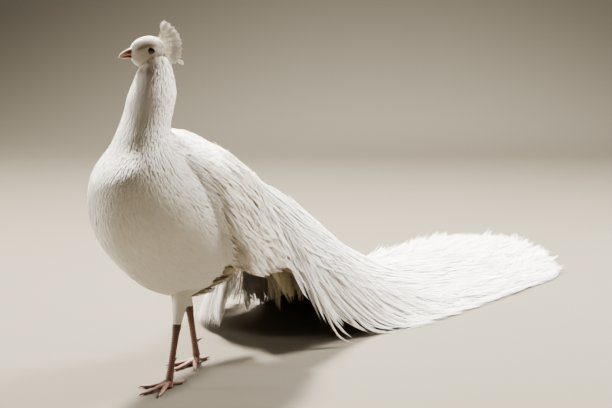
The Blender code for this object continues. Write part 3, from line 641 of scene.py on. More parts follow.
def plumage_of(name, root, tip, marked=(1, 1, 1), ridges=0.25, sheen=0.15, through=0.0):
    """A coat's material: the feather group with this coat's colours, of which root and marked stand for
    painted shade, its ridges as bump, its sheen, and how much light goes through it."""
    material, shader = shader_of(name, tip, 0.75)
    tree = material.node_tree
    feather = add(tree, "ShaderNodeGroup", node_tree=barbs)
    kept = add(tree, "ShaderNodeAttribute", attribute_name="tone")
    place = add(tree, "ShaderNodeTexCoord")
    tree.links.new(kept.outputs["Color"], feather.inputs["Tone"])
    tree.links.new(kept.outputs["Alpha"], feather.inputs["Painted_shade_amount"])
    tree.links.new(place.outputs["Object"], feather.inputs["Place"])
    for title, colour in (("Root", root), ("Tip", tip), ("Painted_shade_colour", marked)):
        feather.inputs[title].default_value = (*colour, 1)
    tree.links.new(feather.outputs["Colour"], shader.inputs["Base Color"])
    tree.links.new(feather.outputs["Roughness"], shader.inputs["Roughness"])
    bump = add(tree, "ShaderNodeBump")
    bump.inputs["Strength"].default_value = ridges
    bump.inputs["Distance"].default_value = RIDGE_DEEP
    tree.links.new(feather.outputs["Height"], bump.inputs["Height"])
    tree.links.new(bump.outputs["Normal"], shader.inputs["Normal"])
    shader.inputs["Sheen Weight"].default_value = sheen
    shader.inputs["Subsurface Weight"].default_value = through
    shader.inputs["Subsurface Radius"].default_value = (1.0, 0.85, 0.65)
    shader.inputs["Subsurface Scale"].default_value = 0.004
    return material


# Colours of painted shade: FACE_SHADE on the white coats and the skin, TRAIN_SHADE on the train.
FACE_SHADE, TRAIN_SHADE = (0.50, 0.40, 0.30), (0.62, 0.54, 0.42)
white_coat = plumage_of("white_coat", (0.82, 0.79, 0.73), (0.92, 0.90, 0.86), FACE_SHADE, 0.2)
# Down under the tail: its dark olive colours are painted shade.
vent_shade_coat = plumage_of("vent_down_shade", (0.30, 0.26, 0.17), (0.50, 0.45, 0.33), (1, 1, 1), 0.1)
# The loose coat's dark root and marked colours are painted shade in the gaps between wing locks.
loose_coat = plumage_of("loose_coat", (0.56, 0.50, 0.40), (0.95, 0.93, 0.89), (0.40, 0.33, 0.24))
train_coat = plumage_of("train_coat", (0.78, 0.74, 0.68), (0.95, 0.93, 0.90), TRAIN_SHADE, through=0.5)
cream_coat = plumage_of("cream_coat", (0.60, 0.48, 0.30), (0.80, 0.72, 0.55))
down_coat = plumage_of("down", (0.76, 0.72, 0.64), (0.84, 0.81, 0.75), FACE_SHADE, 0.1)
print("finishes:", [material.name for material in bpy.data.materials])


# %% Where shade is painted on the face
BROW_AHEAD = (-0.0115, 0.0035, 0.0230, 0.0430, 0.0500)
BROW_UP = (0.0300, 0.0345, 0.0320, 0.0245, 0.0205)


def patch(ahead, up, middle, size):
    """A soft oval patch: it falls off as the square of the distance from its middle over its size."""
    return np.exp(-(((ahead - middle[0]) / size[0]) ** 2) - ((up - middle[1]) / size[1]) ** 2)


def painted_face_shade(points):
    """How much painted shade the plumage and skin get at points, from 0 to 1, in the head's frame: a brow
    line over the eye, a patch behind the eye, and fainter ones over the cheek and the throat."""
    off = np.asarray(points) - HEAD_PLACE
    ahead, up = off @ HEAD_AHEAD, off[..., 2]
    brow = np.exp(-(((up - np.interp(ahead, BROW_AHEAD, BROW_UP)) / 0.0036) ** 2))
    brow *= np.clip((ahead + 0.016) / 0.006, 0, 1) * np.clip((0.052 - ahead) / 0.012, 0, 1)
    behind = patch(ahead, up, (-0.0095, 0.0160), (0.0048, 0.0130))
    cheek = patch(ahead, up, (0.0200, 0.0100), (0.0230, 0.0120))
    throat = patch(ahead, up, (0.0180, -0.0140), (0.0200, 0.0110))
    return np.clip(0.75 * brow + 0.60 * behind + 0.40 * cheek + 0.60 * throat, 0, 1) * (up > -0.05)


# %% [markdown]
# ## Wings
# A folded wing is a shallow shell over the flank. Its sheet is worked out between a lower and an upper
# edge, with a bulge, and then pushed out of the body by a Shrinkwrap modifier wherever it would cut it.

# %% The wing: lower edge out, y, z, upper edge out, y, z, and the bulge
WING = [
    (0.100, -0.040, 0.475, 0.058, 0.018, 0.596, 0.004),
    (0.130, -0.008, 0.415, 0.048, 0.070, 0.598, 0.026),
    (0.142, 0.040, 0.365, 0.040, 0.125, 0.586, 0.042),
    (0.143, 0.098, 0.318, 0.034, 0.180, 0.564, 0.044),
    (0.136, 0.160, 0.280, 0.030, 0.235, 0.535, 0.042),
    (0.120, 0.222, 0.251, 0.030, 0.287, 0.498, 0.036),
    (0.104, 0.285, 0.239, 0.044, 0.330, 0.445, 0.026),
    (0.095, 0.335, 0.240, 0.064, 0.358, 0.370, 0.016),
    (0.090, 0.372, 0.246, 0.084, 0.376, 0.280, 0.006),
]
WING_LINES, WING_ACROSS, WING_END = 65, 41, len(WING) - 1.0
WING_CLEAR, OUTSIDE_X = 0.009, 0.6
FRONT_ACROSS = (-1, -0.75, -0.5, -0.25, 0.0, 0.25, 0.5, 1.0)
FRONT_LINE = (3.5, 2.9, 2.2, 1.6, 1.0, 0.5, 0.2, 0.2)


def shown_at(line, across):
    """How much of the wing shows from under the flank's feathers, from 0 to 1. It starts at a front
    line that runs back and down across the wing."""
    return np.clip((line - np.interp(across, FRONT_ACROSS, FRONT_LINE) + 0.4) / 1.3, 0, 1)


def wing_sheet():
    """The wing's grid of points: a straight chord from the lower to the upper edge, plus the bulge
    times a parabola along it, on the side away from the body."""
    edges = table_at(WING, np.linspace(0, WING_END, WING_LINES))[:, None, :]
    low, high, bulge = edges[..., 0:3], edges[..., 3:6], edges[..., 6:7]
    share = np.linspace(0, 1, WING_ACROSS)[None, :, None]
    along = np.gradient((low + high) / 2, axis=0)
    points = low + (high - low) * share + unit(np.cross(along, high - low)) * bulge * 4 * share * (1 - share)
    return points + (MID_X, 0, 0)


# %% Push a sheet out of a body
def pushed_out(points, target, shown):
    """A left wing's grid of points moved out along x, clear of a target object. A copy of the grid far
    outside is thrown back on to the target by a Shrinkwrap modifier, which gives its side at each
    point. Where the wing is shown, each point keeps the x that is further out, and where the flank's
    feathers hide it, the point goes a little under the target's side."""
    started = points.copy()
    started[..., 0] = OUTSIDE_X
    sheet = piece_of("sheet", started.reshape(-1, 3), grid_faces(*points.shape[:2]), down_coat)
    wrap = sheet.modifiers.new("wrap", "SHRINKWRAP")
    wrap.target, wrap.wrap_method = target, "PROJECT"
    wrap.use_project_x, wrap.use_positive_direction, wrap.use_negative_direction = True, False, True
    bpy.context.view_layer.update()
    moved = sheet.evaluated_get(bpy.context.evaluated_depsgraph_get()).data
    side = read(moved, "co").reshape(points.shape)[..., 0]
    bpy.data.objects.remove(sheet)
    missed = side > OUTSIDE_X - 0.01
    out = np.where(missed, points[..., 0], np.maximum(points[..., 0], side + WING_CLEAR))
    under = np.where(missed, points[..., 0], side - WING_CLEAR)
    return np.concatenate([(under + (out - under) * shown)[..., None], points[..., 1:]], -1)


# %% Read a grid of points as a surface
def sampled(grid, last):
    """A surface function that reads a grid of points, with straight lines between them. The first
    number runs from 0 to last along the grid and the second from -1 to 1 across it."""

    def surface(line, across, height=0.0):
        place = np.clip(np.asarray(line, float) / last, 0, 1.15) * (grid.shape[0] - 1)
        beside = (np.asarray(across, float) + 1) / 2 * (grid.shape[1] - 1)
        low = np.clip(place.astype(int), 0, grid.shape[0] - 2)
        left = np.clip(beside.astype(int), 0, grid.shape[1] - 2)
        u, v = (place - low)[..., None], (beside - left)[..., None]
        near = grid[low, left] * (1 - v) + grid[low, left + 1] * v
        far = grid[low + 1, left] * (1 - v) + grid[low + 1, left + 1] * v
        return near * (1 - u) + far * u

    return surface


def evened(grid, times):
    """A grid of points with each inner point moved halfway to the mean of its four neighbours."""
    grid = grid.copy()
    for _ in range(times):
        mean = (grid[:-2, 1:-1] + grid[2:, 1:-1] + grid[1:-1, :-2] + grid[1:-1, 2:]) / 4
        grid[1:-1, 1:-1] = (grid[1:-1, 1:-1] + mean) / 2
    return grid


def mirrored(points):
    """Points on the other side of the body's middle plane."""
    return np.stack([2 * MID_X - points[..., 0], points[..., 1], points[..., 2]], -1)


# %% Shape the wings
around = full_circle(96)[None, :]
row, line = np.linspace(0, BODY_END, 150)[:, None], np.linspace(0, 3, 20)[:, None]
solid_body = piece_of("solid_body", *joined([body(row, around)]), down_coat)
root_slab = slab(line, np.linspace(-0.9, 0.9, 41)[None, :], 0.05)
train_root = piece_of("train_root", *joined([root_slab]), down_coat)
line, across = np.linspace(0, WING_END, WING_LINES)[:, None], np.linspace(-1, 1, WING_ACROSS)[None, :]
shown = shown_at(line, across)
wing_grid = pushed_out(pushed_out(wing_sheet(), solid_body, shown), train_root, np.ones_like(shown))
wing_grid = evened(wing_grid, 14)
for helper in (solid_body, train_root):
    bpy.data.objects.remove(helper)
WINGS = {
    "left": (sampled(wing_grid, WING_END), 1.0),
    "right": (sampled(mirrored(wing_grid), WING_END), -1.0),
}
print("wing reaches", wing_grid.reshape(-1, 3).min(0).round(3), wing_grid.reshape(-1, 3).max(0).round(3))

# %% [markdown]
# ## One skin
# Body, head, thighs and wings are joined and turned into one closed skin by a voxel remesh, which
# melts their seams together as real skin does. It lies inside the solids by the depth of the coat.

# %% Melt the parts into one skin
COAT_DEPTH, HEAD_DEPTH, THIGH_DEPTH, VOXEL = 0.0045, 0.0016, 0.002, 0.0037
FLESHY_LINES, FLESH_FRONT, FLESH_BACK = 50, 0.022, 0.010


def wing_rings(grid, flip):
    """The flesh of a wing: its sheet a little inside the coat, and a second sheet further in."""
    out = unit(np.cross(np.gradient(grid, axis=0), np.gradient(grid, axis=1))) * flip
    grid, out = grid[:FLESHY_LINES], out[:FLESHY_LINES]
    inner = grid - out * np.linspace(FLESH_FRONT, FLESH_BACK, FLESHY_LINES)[:, None, None]
    return np.concatenate([grid - out * COAT_DEPTH, inner[:, ::-1]], 1)


tubes = [body(np.linspace(0.0, BODY_END, 150)[:, None], around, COAT_DEPTH)]
tubes.append(head(np.linspace(0, HEAD_END, 60)[:, None], around, HEAD_DEPTH))
tubes += [thigh_of(side)(np.linspace(0, 4, 40)[:, None], around[:, ::2], THIGH_DEPTH) for side in THIGHS]
tubes += [wing_rings(wing_grid, 1.0), wing_rings(mirrored(wing_grid), -1.0)]
skin = melted("skin", tubes, down_coat, VOXEL, 8)
places = read(skin.data, "co")
# The skin gets the same painted shade on the face as the feathers over it.
keep_tones(skin.data, tones_of(0.35, painted_face_shade(places), len(places)))
skin.data.shade_smooth()
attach(skin, "root")
FLESH = ["head", "neck_upper", "neck_lower", "torso", "rump", "thigh_left", "thigh_right"]
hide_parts(*FLESH, "wing_left", "wing_right")
print("skin faces:", len(skin.data.polygons))


# %% [markdown]
# ## The body's coat
# Small contour feathers cover the neck, breast and belly. They are shortest on the neck and longest
# on the belly, and lie so flat that the breast looks like velvet. Only at the outline do tips show.

# %% Cover neck, breast and belly
GAP_ROWS, GAPS = (0, 3, 6, 9, 16), (0.0031, 0.0037, 0.0046, 0.0055, 0.0068)
COAT_PARTS = {"neck_coat": (0.0, 6.2), "breast_coat": (6.2, 10.0), "belly_coat": (10.0, BODY_END)}


def gap_on_body(row, angle):
    """The gap between feathers by row of the body's table: small on the neck, wide on the belly."""
    return np.interp(row, GAP_ROWS, GAPS)


def ring_spots(rows, angles, end):
    """Places on a coat's unwrap for rows up to an end and for angles: both as shares of the whole."""
    return rows / end, (angles / (2 * np.pi)) % 1


rows, angles = scatter(body, (0.02, 0.0), (15.4, 2 * np.pi), gap_on_body)
gap = gap_on_body(rows, angles)
for name, (first, last) in COAT_PARTS.items():
    chosen = (rows >= first) & (rows < last)
    r, t, g = rows[chosen], angles[chosen], gap[chosen]
    low = np.interp(r, (0.0, 0.7, 1.8), (0.0030, 0.0012, -0.0030))
    length, turn = g * chance.uniform(4.4, 6.4, len(r)), chance.normal(0, 0.10, len(r))
    lines = grow(body, r, t, length, turn, 0.0, low, 0.0026)
    # Near the head the feathers get the face's painted shade.
    spots, face_shading = ring_spots(r, t, BODY_END), painted_face_shade(lines[0][:, 0])
    vanes(name, lines, g * 0.50, g * 0.04, (0.55, 1.0, 0.70), spots, white_coat, face_shading)

# %% Fluff under the tail, coloured dark olive as painted shade
rows, angles = scatter(body, (11.8, -1.5), (15.6, 1.5), 0.0145)
turn = chance.normal(0, 0.3, len(rows))
centre = grow(body, rows, angles, 0.055, turn, low=-0.003, rise=0.022, stations=5)
spots = ring_spots(rows, angles, BODY_END)
vanes("vent_fluff", tufted(centre, 8, 0.006, 0.5), 0.0022, 0.0005, DOWN_SHAPE, spots, vent_shade_coat)

# %% Cover the thighs
for side in THIGHS:
    thigh = thigh_of(side)
    rows, angles = scatter(thigh, (0.5, 0.0), (3.85, 2 * np.pi), 0.0034)
    turn = chance.normal(0, 0.12, len(rows))
    lines = grow(thigh, rows, angles, 0.015, turn, low=-0.0015, rise=0.0012, flip=-1.0)
    spots = ring_spots(rows, angles, len(THIGHS[side]) - 1)
    vanes("thigh_coat_" + side, lines, 0.0017, 0.0002, SHORT_SHAPE, spots, white_coat)

# %% [markdown]
# ## Mantle and wings
# Over the wings the feathers are loose and silky. Their tips gather in locks that run back and down,
# with shade in between: real shade between the strands, and painted shade on the coverts below and on
# some locks. Each lock is one centre line that becomes several strands.

# %% Keep feathers over the wing's hem
HEM_Y = (-0.04, 0.04, 0.10, 0.16, 0.22, 0.285, 0.34, 0.42)
HEM_Z = (0.46, 0.345, 0.298, 0.262, 0.238, 0.226, 0.226, 0.226)
HEM_SOFT = 0.030


def hemmed(lines):
    """Lines whose points stay over the wing's lower hem: under a soft height over it they close up on
    the hem by a falling exponential, so tips turn and run along it."""
    points = lines[0]
    hem = np.interp(points[..., 1], HEM_Y, HEM_Z)
    over = points[..., 2] - hem
    eased = HEM_SOFT * np.exp(np.minimum(over - HEM_SOFT, 0) / HEM_SOFT)
    points[..., 2] = np.where(over < HEM_SOFT, hem + eased, points[..., 2])
    return points, lines[1], lines[2]


# %% Where each kind of wing feather grows
def across_spots(along, across):
    """Places on a coat's unwrap for a share along a sheet and a number from -1 to 1 across it."""
    return np.clip(along, 0, 1), np.clip((across + 1) / 2, 0, 1)


def coverts_at(line, across):
    """True where the wing shows from under the flank's feathers."""
    return shown_at(line, across) > 0.25


def locks_at(line, across):
    """True where the wing shows well, but near its upper edge only from a random line backwards."""
    back = chance.uniform(2.0, 3.4, len(across))
    return (shown_at(line, across) > 0.45) & ((across < 0.45) | (line > back))


def shoulder_at(line, across):
    """True on the shoulder, over a line that rises backwards."""
    over = across > np.interp(line, (0, 1.4, 3.6), (-0.5, 0.20, 0.60))
    return (shown_at(line, across) > 0.2) & over


def flank_at(line, across):
    """True along the line where the wing comes out from under the flank's feathers."""
    return np.abs(shown_at(line, across) - 0.22) < 0.21


# %% Lay flat coverts and then locks over each wing
BACKWARD_DOWN = (0.0, 0.1, -0.42)
for side, (sheet, flip) in WINGS.items():
    line, across = scatter(sheet, (0.0, -0.98), (7.0, 0.98), 0.0085, coverts_at)
    turn = chance.normal(0, 0.1, len(across))
    lines = grow(sheet, line, across, 0.042, turn, low=-0.006, rise=0.004, pull=BACKWARD_DOWN, flip=flip)
    # Painted shade: the coverts darken towards the wing's lower edge and from the front part back.
    wing_shade = np.interp(across, (-1, 0.2, 0.7), (1.0, 0.7, 0.0)) * np.interp(line, (1.0, 2.2), (0.0, 1.0))
    spots = across_spots(line / WING_END, across)
    vanes("coverts_" + side, hemmed(lines), 0.0060, 0.0005, (0.6, 1.0, 0.8), spots, loose_coat, wing_shade)

    line, across = scatter(sheet, (0.0, -0.96), (6.6, 0.96), 0.0165, locks_at)
    number = len(across)
    length = np.interp(line, (0, 2, 5, 7), (0.055, 0.090, 0.115, 0.060)) * chance.uniform(0.75, 1.25, number)
    length *= np.interp(across, (-1, -0.6), (0.6, 1.0))
    loose = np.interp(across, (-1, 0.3, 1), (0.022, 0.014, 0.004)) * np.interp(line, (0, 2.5), (0.25, 1.0))
    turn, bend = chance.normal(0, 0.18, number), chance.normal(0, 0.36, number)
    rise = loose * chance.uniform(0.2, 1.3, number)
    centre = grow(sheet, line, across, length, turn, bend, -0.003, rise, BACKWARD_DOWN, 6, flip)
    lines, spots = hemmed(tufted(centre, 12, 0.0058, 0.12)), across_spots(line / WING_END, across)
    # Some locks at random get painted shade.
    wing_shade = chance.random(number) ** 3 * 0.5
    vanes("wing_locks_" + side, lines, 0.0012, 0.0004, STRAND, spots, loose_coat, wing_shade)

# %% Lay the soft down of the shoulders
for side, (sheet, flip) in WINGS.items():
    line, across = scatter(sheet, (0.1, -0.9), (3.6, 1.0), 0.0062, shoulder_at)
    length, turn = 0.034 * chance.uniform(0.7, 1.2, len(across)), chance.normal(0, 0.16, len(across))
    lines = grow(sheet, line, across, length, turn, 0.0, -0.003, 0.004, (0.0, 0.1, -0.2), flip=flip)
    spots = across_spots(line / WING_END, across)
    vanes("shoulder_down_" + side, lines, 0.0028, 0.0003, SHORT_SHAPE, spots, white_coat)

# %% Lay the flank's feathers over the front of each wing
for side, (sheet, flip) in WINGS.items():
    line, across = scatter(sheet, (0.0, -0.98), (4.2, 0.6), 0.0070, flank_at)
    number = len(across)
    length, rise = 0.036 * chance.uniform(0.7, 1.25, number), 0.006 * chance.random(number)
    turn = chance.normal(0, 0.2, number)
    centre = grow(sheet, line, across, length, turn, 0.0, 0.003, rise, (0.0, 0.0, -0.3), 5, flip)
    lines, spots = tufted(centre, 4, 0.003, 0.5), across_spots(line / WING_END, across)
    vanes("flank_down_" + side, lines, 0.0012, 0.0003, DOWN_SHAPE, spots, white_coat)

# %% Lay the mantle's locks between the wings
rows, angles = scatter(body, (6.4, np.pi - 1.05), (14.2, np.pi + 1.05), 0.0138)
length, turn = np.interp(rows, (6, 9, 14), (0.030, 0.055, 0.070)), chance.normal(0, 0.12, len(rows))
centre = grow(body, rows, angles, length, turn, low=-0.003, rise=0.003, stations=6)
spots = ring_spots(rows, angles, BODY_END)
vanes("mantle_locks", tufted(centre, 7, 0.005, 0.40), 0.0014, 0.0003, STRAND, spots, white_coat)

# %% Lay the flight feathers
FLIGHT_SHAPE = (0.5, 0.8, 1.0, 1.0, 1.0, 0.95, 0.85, 0.6)
for side, (sheet, flip) in WINGS.items():
    across = np.linspace(-0.95, 0.95, 22)
    line = np.full(len(across), 4.7)
    lines = grow(sheet, line, across, 0.140, 0.0, 0.0, -0.012, 0.006, (0, 0, -0.10), 9, flip)
    spots = across_spots(line / WING_END, across)
    # Flight feathers get a little painted shade.
    made = vanes("remiges_" + side, hemmed(lines), 0.0095, 0.0010, FLIGHT_SHAPE, spots, white_coat, 0.15)
    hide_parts("flight_" + side)

# %% [markdown]
# ## The train
# The train is what names the bird. Over a thin core of down lies a silky cover of long strands. Its
# near and far edges break into locks that hang to the floor with dark gaps, and its end is a haze of
# loose barbs.

# %% Make the core of down
CORE_LINES = (0, 1.5, 3, 5, 6.5, 7.5, 8.6, 9.2)
CORE_REACH = (0.7, 0.62, 0.50, 0.50, 0.70, 0.78, 0.80, 0.45)
CORE_DEEP = 0.004
line = np.linspace(0.2, 9.2, 120)[:, None]
across = np.linspace(-1, 1, 61)[None, :] * np.interp(line, CORE_LINES, CORE_REACH)
core = piece_of("train_core", *joined([slab(line, across, CORE_DEEP)]), train_coat)
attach(core, "root")
TRAIN_NODES = ("train_long", "train_middle", "train_short")
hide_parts(*(f"{node}_{side}" for node in TRAIN_NODES for side in ("left", "right")))
print("core faces:", len(core.data.polygons))


# %% How far the train's strands reach
ENDS_ACROSS, ENDS_Y = (-1, -0.8, -0.4, 0.2, 0.6, 1), (1.72, 1.93, 1.99, 1.95, 1.82, 1.60)
FAR_LIMIT, NEAR_LIMIT, SOFT_SIDE = -0.487, 0.186, 0.15  # least and most x, and a share of the width
LOWEST, SILK_STATIONS = 0.0012, 6


def kept_in(points, far_sides, near_sides):
    """Points kept between two limits in x. Inside each limit the last share, SOFT_SIDE, takes up all
    that would pass it, by a hyperbolic tangent, so no strands end on one straight line."""
    middle = np.interp(points[..., 1], *np.transpose(TRAIN)[:2])
    off = points[..., 0] - middle
    limit = np.where(off > 0, near_sides - middle, middle - far_sides)
    share = np.abs(off) / limit
    eased = (1 - SOFT_SIDE) + SOFT_SIDE * np.tanh((share - 1 + SOFT_SIDE) / SOFT_SIDE)
    points[..., 0] = middle + np.sign(off) * limit * np.where(share > 1 - SOFT_SIDE, eased, share)
    return points


# %% A coat of locks over part of the train
def silk(
    name, lows, highs, gap, length, strands, spread, gather, loose, wander, half,
    pull=(0, 0), shade_share=0.0, chosen=None,
):
    """Locks over part of the train, with one setting each for gap, length, strands a lock, spread,
    gathering, how far tips stand off, how much they wander, half width, the pull out and down, how
    much painted shade they carry, and a rule that chooses places. Locks stop where the train ends."""
    line, across = scatter(train, lows, highs, gap)
    ends = np.interp(across, ENDS_ACROSS, ENDS_Y) + chance.uniform(-0.05, 0.02, len(line))
    room = ends - train(line, across)[:, 1]
    fits = room > 0.04
    if chosen is not None:
        fits &= chosen(line, across)
    line, across, room = line[fits], across[fits], room[fits]
    number = len(line)
    turn, bend = chance.normal(0, wander, number), chance.normal(0, wander * 2, number)
    grown = np.minimum(length * chance.uniform(0.75, 1.2, number), room)
    out = np.sign(across) * np.minimum(np.abs(across) / 0.6, 1) ** 2
    away = np.stack([out * pull[0], 0 * across, pull[1] + 0 * across], -1)
    lifted = loose * chance.random(number) ** 2
    centre = grow(train, line, across, grown, turn, bend, 0.001, lifted, away, SILK_STATIONS, -1.0)
    points, sides, outs = tufted(centre, strands, spread, gather)
    ragged = chance.uniform(0.90, 1.0, (len(points), 1))
    y, middle, half_wide = np.transpose(TRAIN)[:3]
    wide = np.interp(points[..., 1], y, half_wide) * 1.06 + 0.02
    middle = np.interp(points[..., 1], y, middle)
    far = np.maximum(middle - wide * ragged, FAR_LIMIT * ragged**0.3)
    near = np.minimum(middle + wide * ragged, NEAR_LIMIT * ragged)
    points = kept_in(points, far, near)
    points[..., 2] = np.maximum(points[..., 2], LOWEST)
    shape = np.interp(np.linspace(0, 1, SILK_STATIONS), (0, 0.2, 0.6, 1), (0.6, 1.0, 0.9, 0.35))
    spots = across_spots(line / TRAIN_END, across)
    return vanes(name, (points, sides, outs), half, half * 0.35, shape, spots, train_coat, shade_share)


def on_top(line, across):
    """True where the silky cover lies: on the tent's top in front, and over all of it further back."""
    return np.abs(across) < np.interp(line, (0, 1.5, 5, 7, 9), (0.62, 0.56, 0.58, 0.76, 0.84))


# %% Lay the silky cover
COVER = (0.0260, 0.21, 7, 0.0080, 0.30, 0.007, 0.05, 0.0025)  # settings of silk, from its gap on
BACK = (0.0130, 0.09, 7, 0.0050, 0.35, 0.005, 0.06, 0.0018)
for side, low, high in (("left", 0.0, 0.84), ("right", -0.84, 0.0)):
    silk("train_silk_" + side, (0.1, low), (9.4, high), *COVER, chosen=on_top)
silk("train_back", (0.0, -0.70), (3.2, 0.70), *BACK)

# %% Hang the locks at the edges
# The last setting of EDGE is painted shade on the hanging edge locks.
EDGE = (0.0235, 0.25, 12, 0.0080, 0.06, 0.016, 0.13, 0.0012, (0.95, -0.60), 0.25)
NEAR_FRINGE = (0.0205, 0.15, 6, 0.0070, 0.6, 0.016, 0.20, 0.0011, (0.3, 0))
FAR_FRINGE = (0.0180, 0.13, 7, 0.0080, 0.9, 0.045, 0.34, 0.0011, (0.25, 0))
END_HAZE = (0.0225, 0.13, 7, 0.0090, 0.8, 0.030, 0.28, 0.0012)
for side, low, high in (("left", 0.42, 0.68), ("right", -0.72, -0.42)):
    silk("train_edge_" + side, (1.6, low), (6.6, high), *EDGE)
silk("train_fringe_left", (5.8, 0.70), (9.7, 0.98), *NEAR_FRINGE)
silk("train_fringe_right", (5.4, -0.98), (9.7, -0.70), *FAR_FRINGE)
silk("train_end", (8.3, -0.92), (9.9, 0.92), *END_HAZE)

# %% Spread the skirt on the far side
SKIRT_FOOT = [(-0.225, 0.410), (-0.325, 0.440), (-0.390, 0.530), (-0.415, 0.680), (-0.405, 0.900)]


def skirt(down, along):
    """The skirt under the belly: straight from a line on the train's far side to a curve on the
    floor, pushed out by a low parabola. The first number runs down it and the second along it."""
    root = train(2.4 + 2.8 * along, -0.58)
    foot = table_at(SKIRT_FOOT, np.asarray(along) * (len(SKIRT_FOOT) - 1))
    foot = np.concatenate([foot, np.full(foot.shape[:-1] + (1,), LOWEST)], -1)
    down = np.asarray(down)[..., None]
    return root + (foot - root) * down + np.array((-0.010, 0.0, 0.030)) * 4 * down * (1 - down)


def skirt_at(down, along):
    """True at random, more often in the middle of the skirt than at its two ends."""
    return chance.random(len(down)) < np.interp(along, (0, 0.15, 0.6, 1.0), (0.35, 1.0, 0.9, 0.15))


down, along = scatter(skirt, (0.0, 0.0), (0.78, 1.0), 0.0190, skirt_at)
number = len(down)
length = np.minimum(0.22, (1.04 - down) * 0.30) * chance.uniform(0.8, 1.15, number)
turn, bend = chance.normal(0, 0.22, number), chance.normal(0, 0.45, number)
rise = 0.01 * chance.random(number)
centre = grow(skirt, down, along, length, turn, bend, 0.0, rise, stations=SILK_STATIONS, flip=-1.0)
lines = tufted(centre, 11, 0.0130, 0.75)
lines[0][..., 0] = np.maximum(lines[0][..., 0], FAR_LIMIT)
lines[0][..., 2] = np.maximum(lines[0][..., 2], LOWEST)
spots = (np.clip(down, 0, 1), np.clip(along, 0, 1))
# The skirt gets a little painted shade.
vanes("train_skirt", lines, 0.0014, 0.0005, (0.6, 1.0, 0.95, 0.8, 0.55), spots, train_coat, 0.1)

# %% Fan the stiff tail feathers under the train
TAIL_ROOT, TAIL_LONG, TAIL_FEATHERS = np.array((MID_X, 0.330, 0.285)), 0.360, 18
FAR_OPEN, NEAR_OPEN = 24.0, 8.0


def tail_fan(down, across):
    """The tail as a fan: from its root each way goes back at an angle given by the second number, and
    sinks by a power of the distance, more at its two edges."""
    down, across = np.asarray(down, float), np.asarray(across, float)
    angle = np.radians(np.where(across > 0, NEAR_OPEN, FAR_OPEN)) * across
    reach = TAIL_LONG * down
    sunk = 0.200 * np.abs(down) ** 1.15 + 0.030 * across**2 * (0.4 + 0.6 * down)
    return TAIL_ROOT + np.stack([reach * np.sin(angle), reach * np.cos(angle), -sunk], -1)


across = np.linspace(-1, 1, TAIL_FEATHERS)
start = np.full(TAIL_FEATHERS, 0.10)
length = TAIL_LONG * (0.93 - 0.10 * across**2)
rise = 0.0012 * np.arange(TAIL_FEATHERS)
lines = grow(tail_fan, start, across, length, low=rise, stations=9, flip=-1.0)
lines[0][..., 2] = np.maximum(lines[0][..., 2], 0.003)
spots = across_spots(start, across)
tail = vanes("tail_feathers", lines, 0.0180, 0.0012, FLIGHT_SHAPE, spots, cream_coat)
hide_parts("tail_left", "tail_right")

# %% Fluff the tail's underside, coloured dark olive as painted shade
down, across = scatter(tail_fan, (0.12, -0.95), (0.62, 0.95), 0.0190)
sunk = -0.012 - 0.060 * chance.random(len(down))
turn = chance.normal(0, 0.35, len(down))
centre = grow(tail_fan, down, across, 0.100, turn, 0.0, -0.003, sunk, stations=6, flip=-1.0)
lines = tufted(centre, 9, 0.007, 0.6)
lines[0][..., 2] = np.maximum(lines[0][..., 2], 0.004)
spots = across_spots(down, across)
vanes("tail_fluff", lines, 0.0016, 0.0005, (0.7, 1.0, 0.9, 0.7, 0.5), spots, vent_shade_coat)
# %% [markdown]
# ## Head
# The head's feathers are only 6 to 13 mm long and run back from the bill. A line of painted shade runs
# over the eye, with a patch behind it and fainter ones on cheek and throat. The eye itself is a glossy
# dark ball in a thin ring of bare skin.

# %% Cover the head
EYE_AHEAD, EYE_UP, EYE_SIDE, EYE_RADIUS, EYE_BARE = 0.0105, 0.0212, 0.0192, 0.0086, 0.0104
EYES = {side: head_space(EYE_AHEAD, way * EYE_SIDE, EYE_UP) for side, way in (("left", 1), ("right", -1))}

rows, angles = scatter(head, (0.05, 0.0), (7.7, 2 * np.pi), 0.0018)
length = np.interp(rows, (0, 2, 4), (0.0110, 0.0090, 0.0072)) * chance.uniform(0.8, 1.2, len(rows))
falls = np.zeros((len(rows), 3))
falls[:, 2] = -np.interp(rows, (0, 1.2, 3.0), (2.5, 1.4, 0.0))
turn = np.pi + chance.normal(0, 0.15, len(rows))
rise = np.interp(rows, (0, 3), (0.0030, 0.0012))
lines = grow(head, rows, angles, length, turn, 0.0, -0.0010, rise, falls)
bare = np.zeros(len(rows), bool)
for middle in EYES.values():
    for station in (0, 2, 3):
        bare |= np.linalg.norm(lines[0][:, station] - middle, axis=-1) < EYE_BARE
lines = tuple(part[~bare] for part in lines)
spots = ring_spots(rows[~bare], angles[~bare], HEAD_END)
# The head's feathers get the face's painted shade.
vanes("head_coat", lines, 0.00080, 0.00012, SHORT_SHAPE, spots, white_coat, painted_face_shade(lines[0][:, 0]))


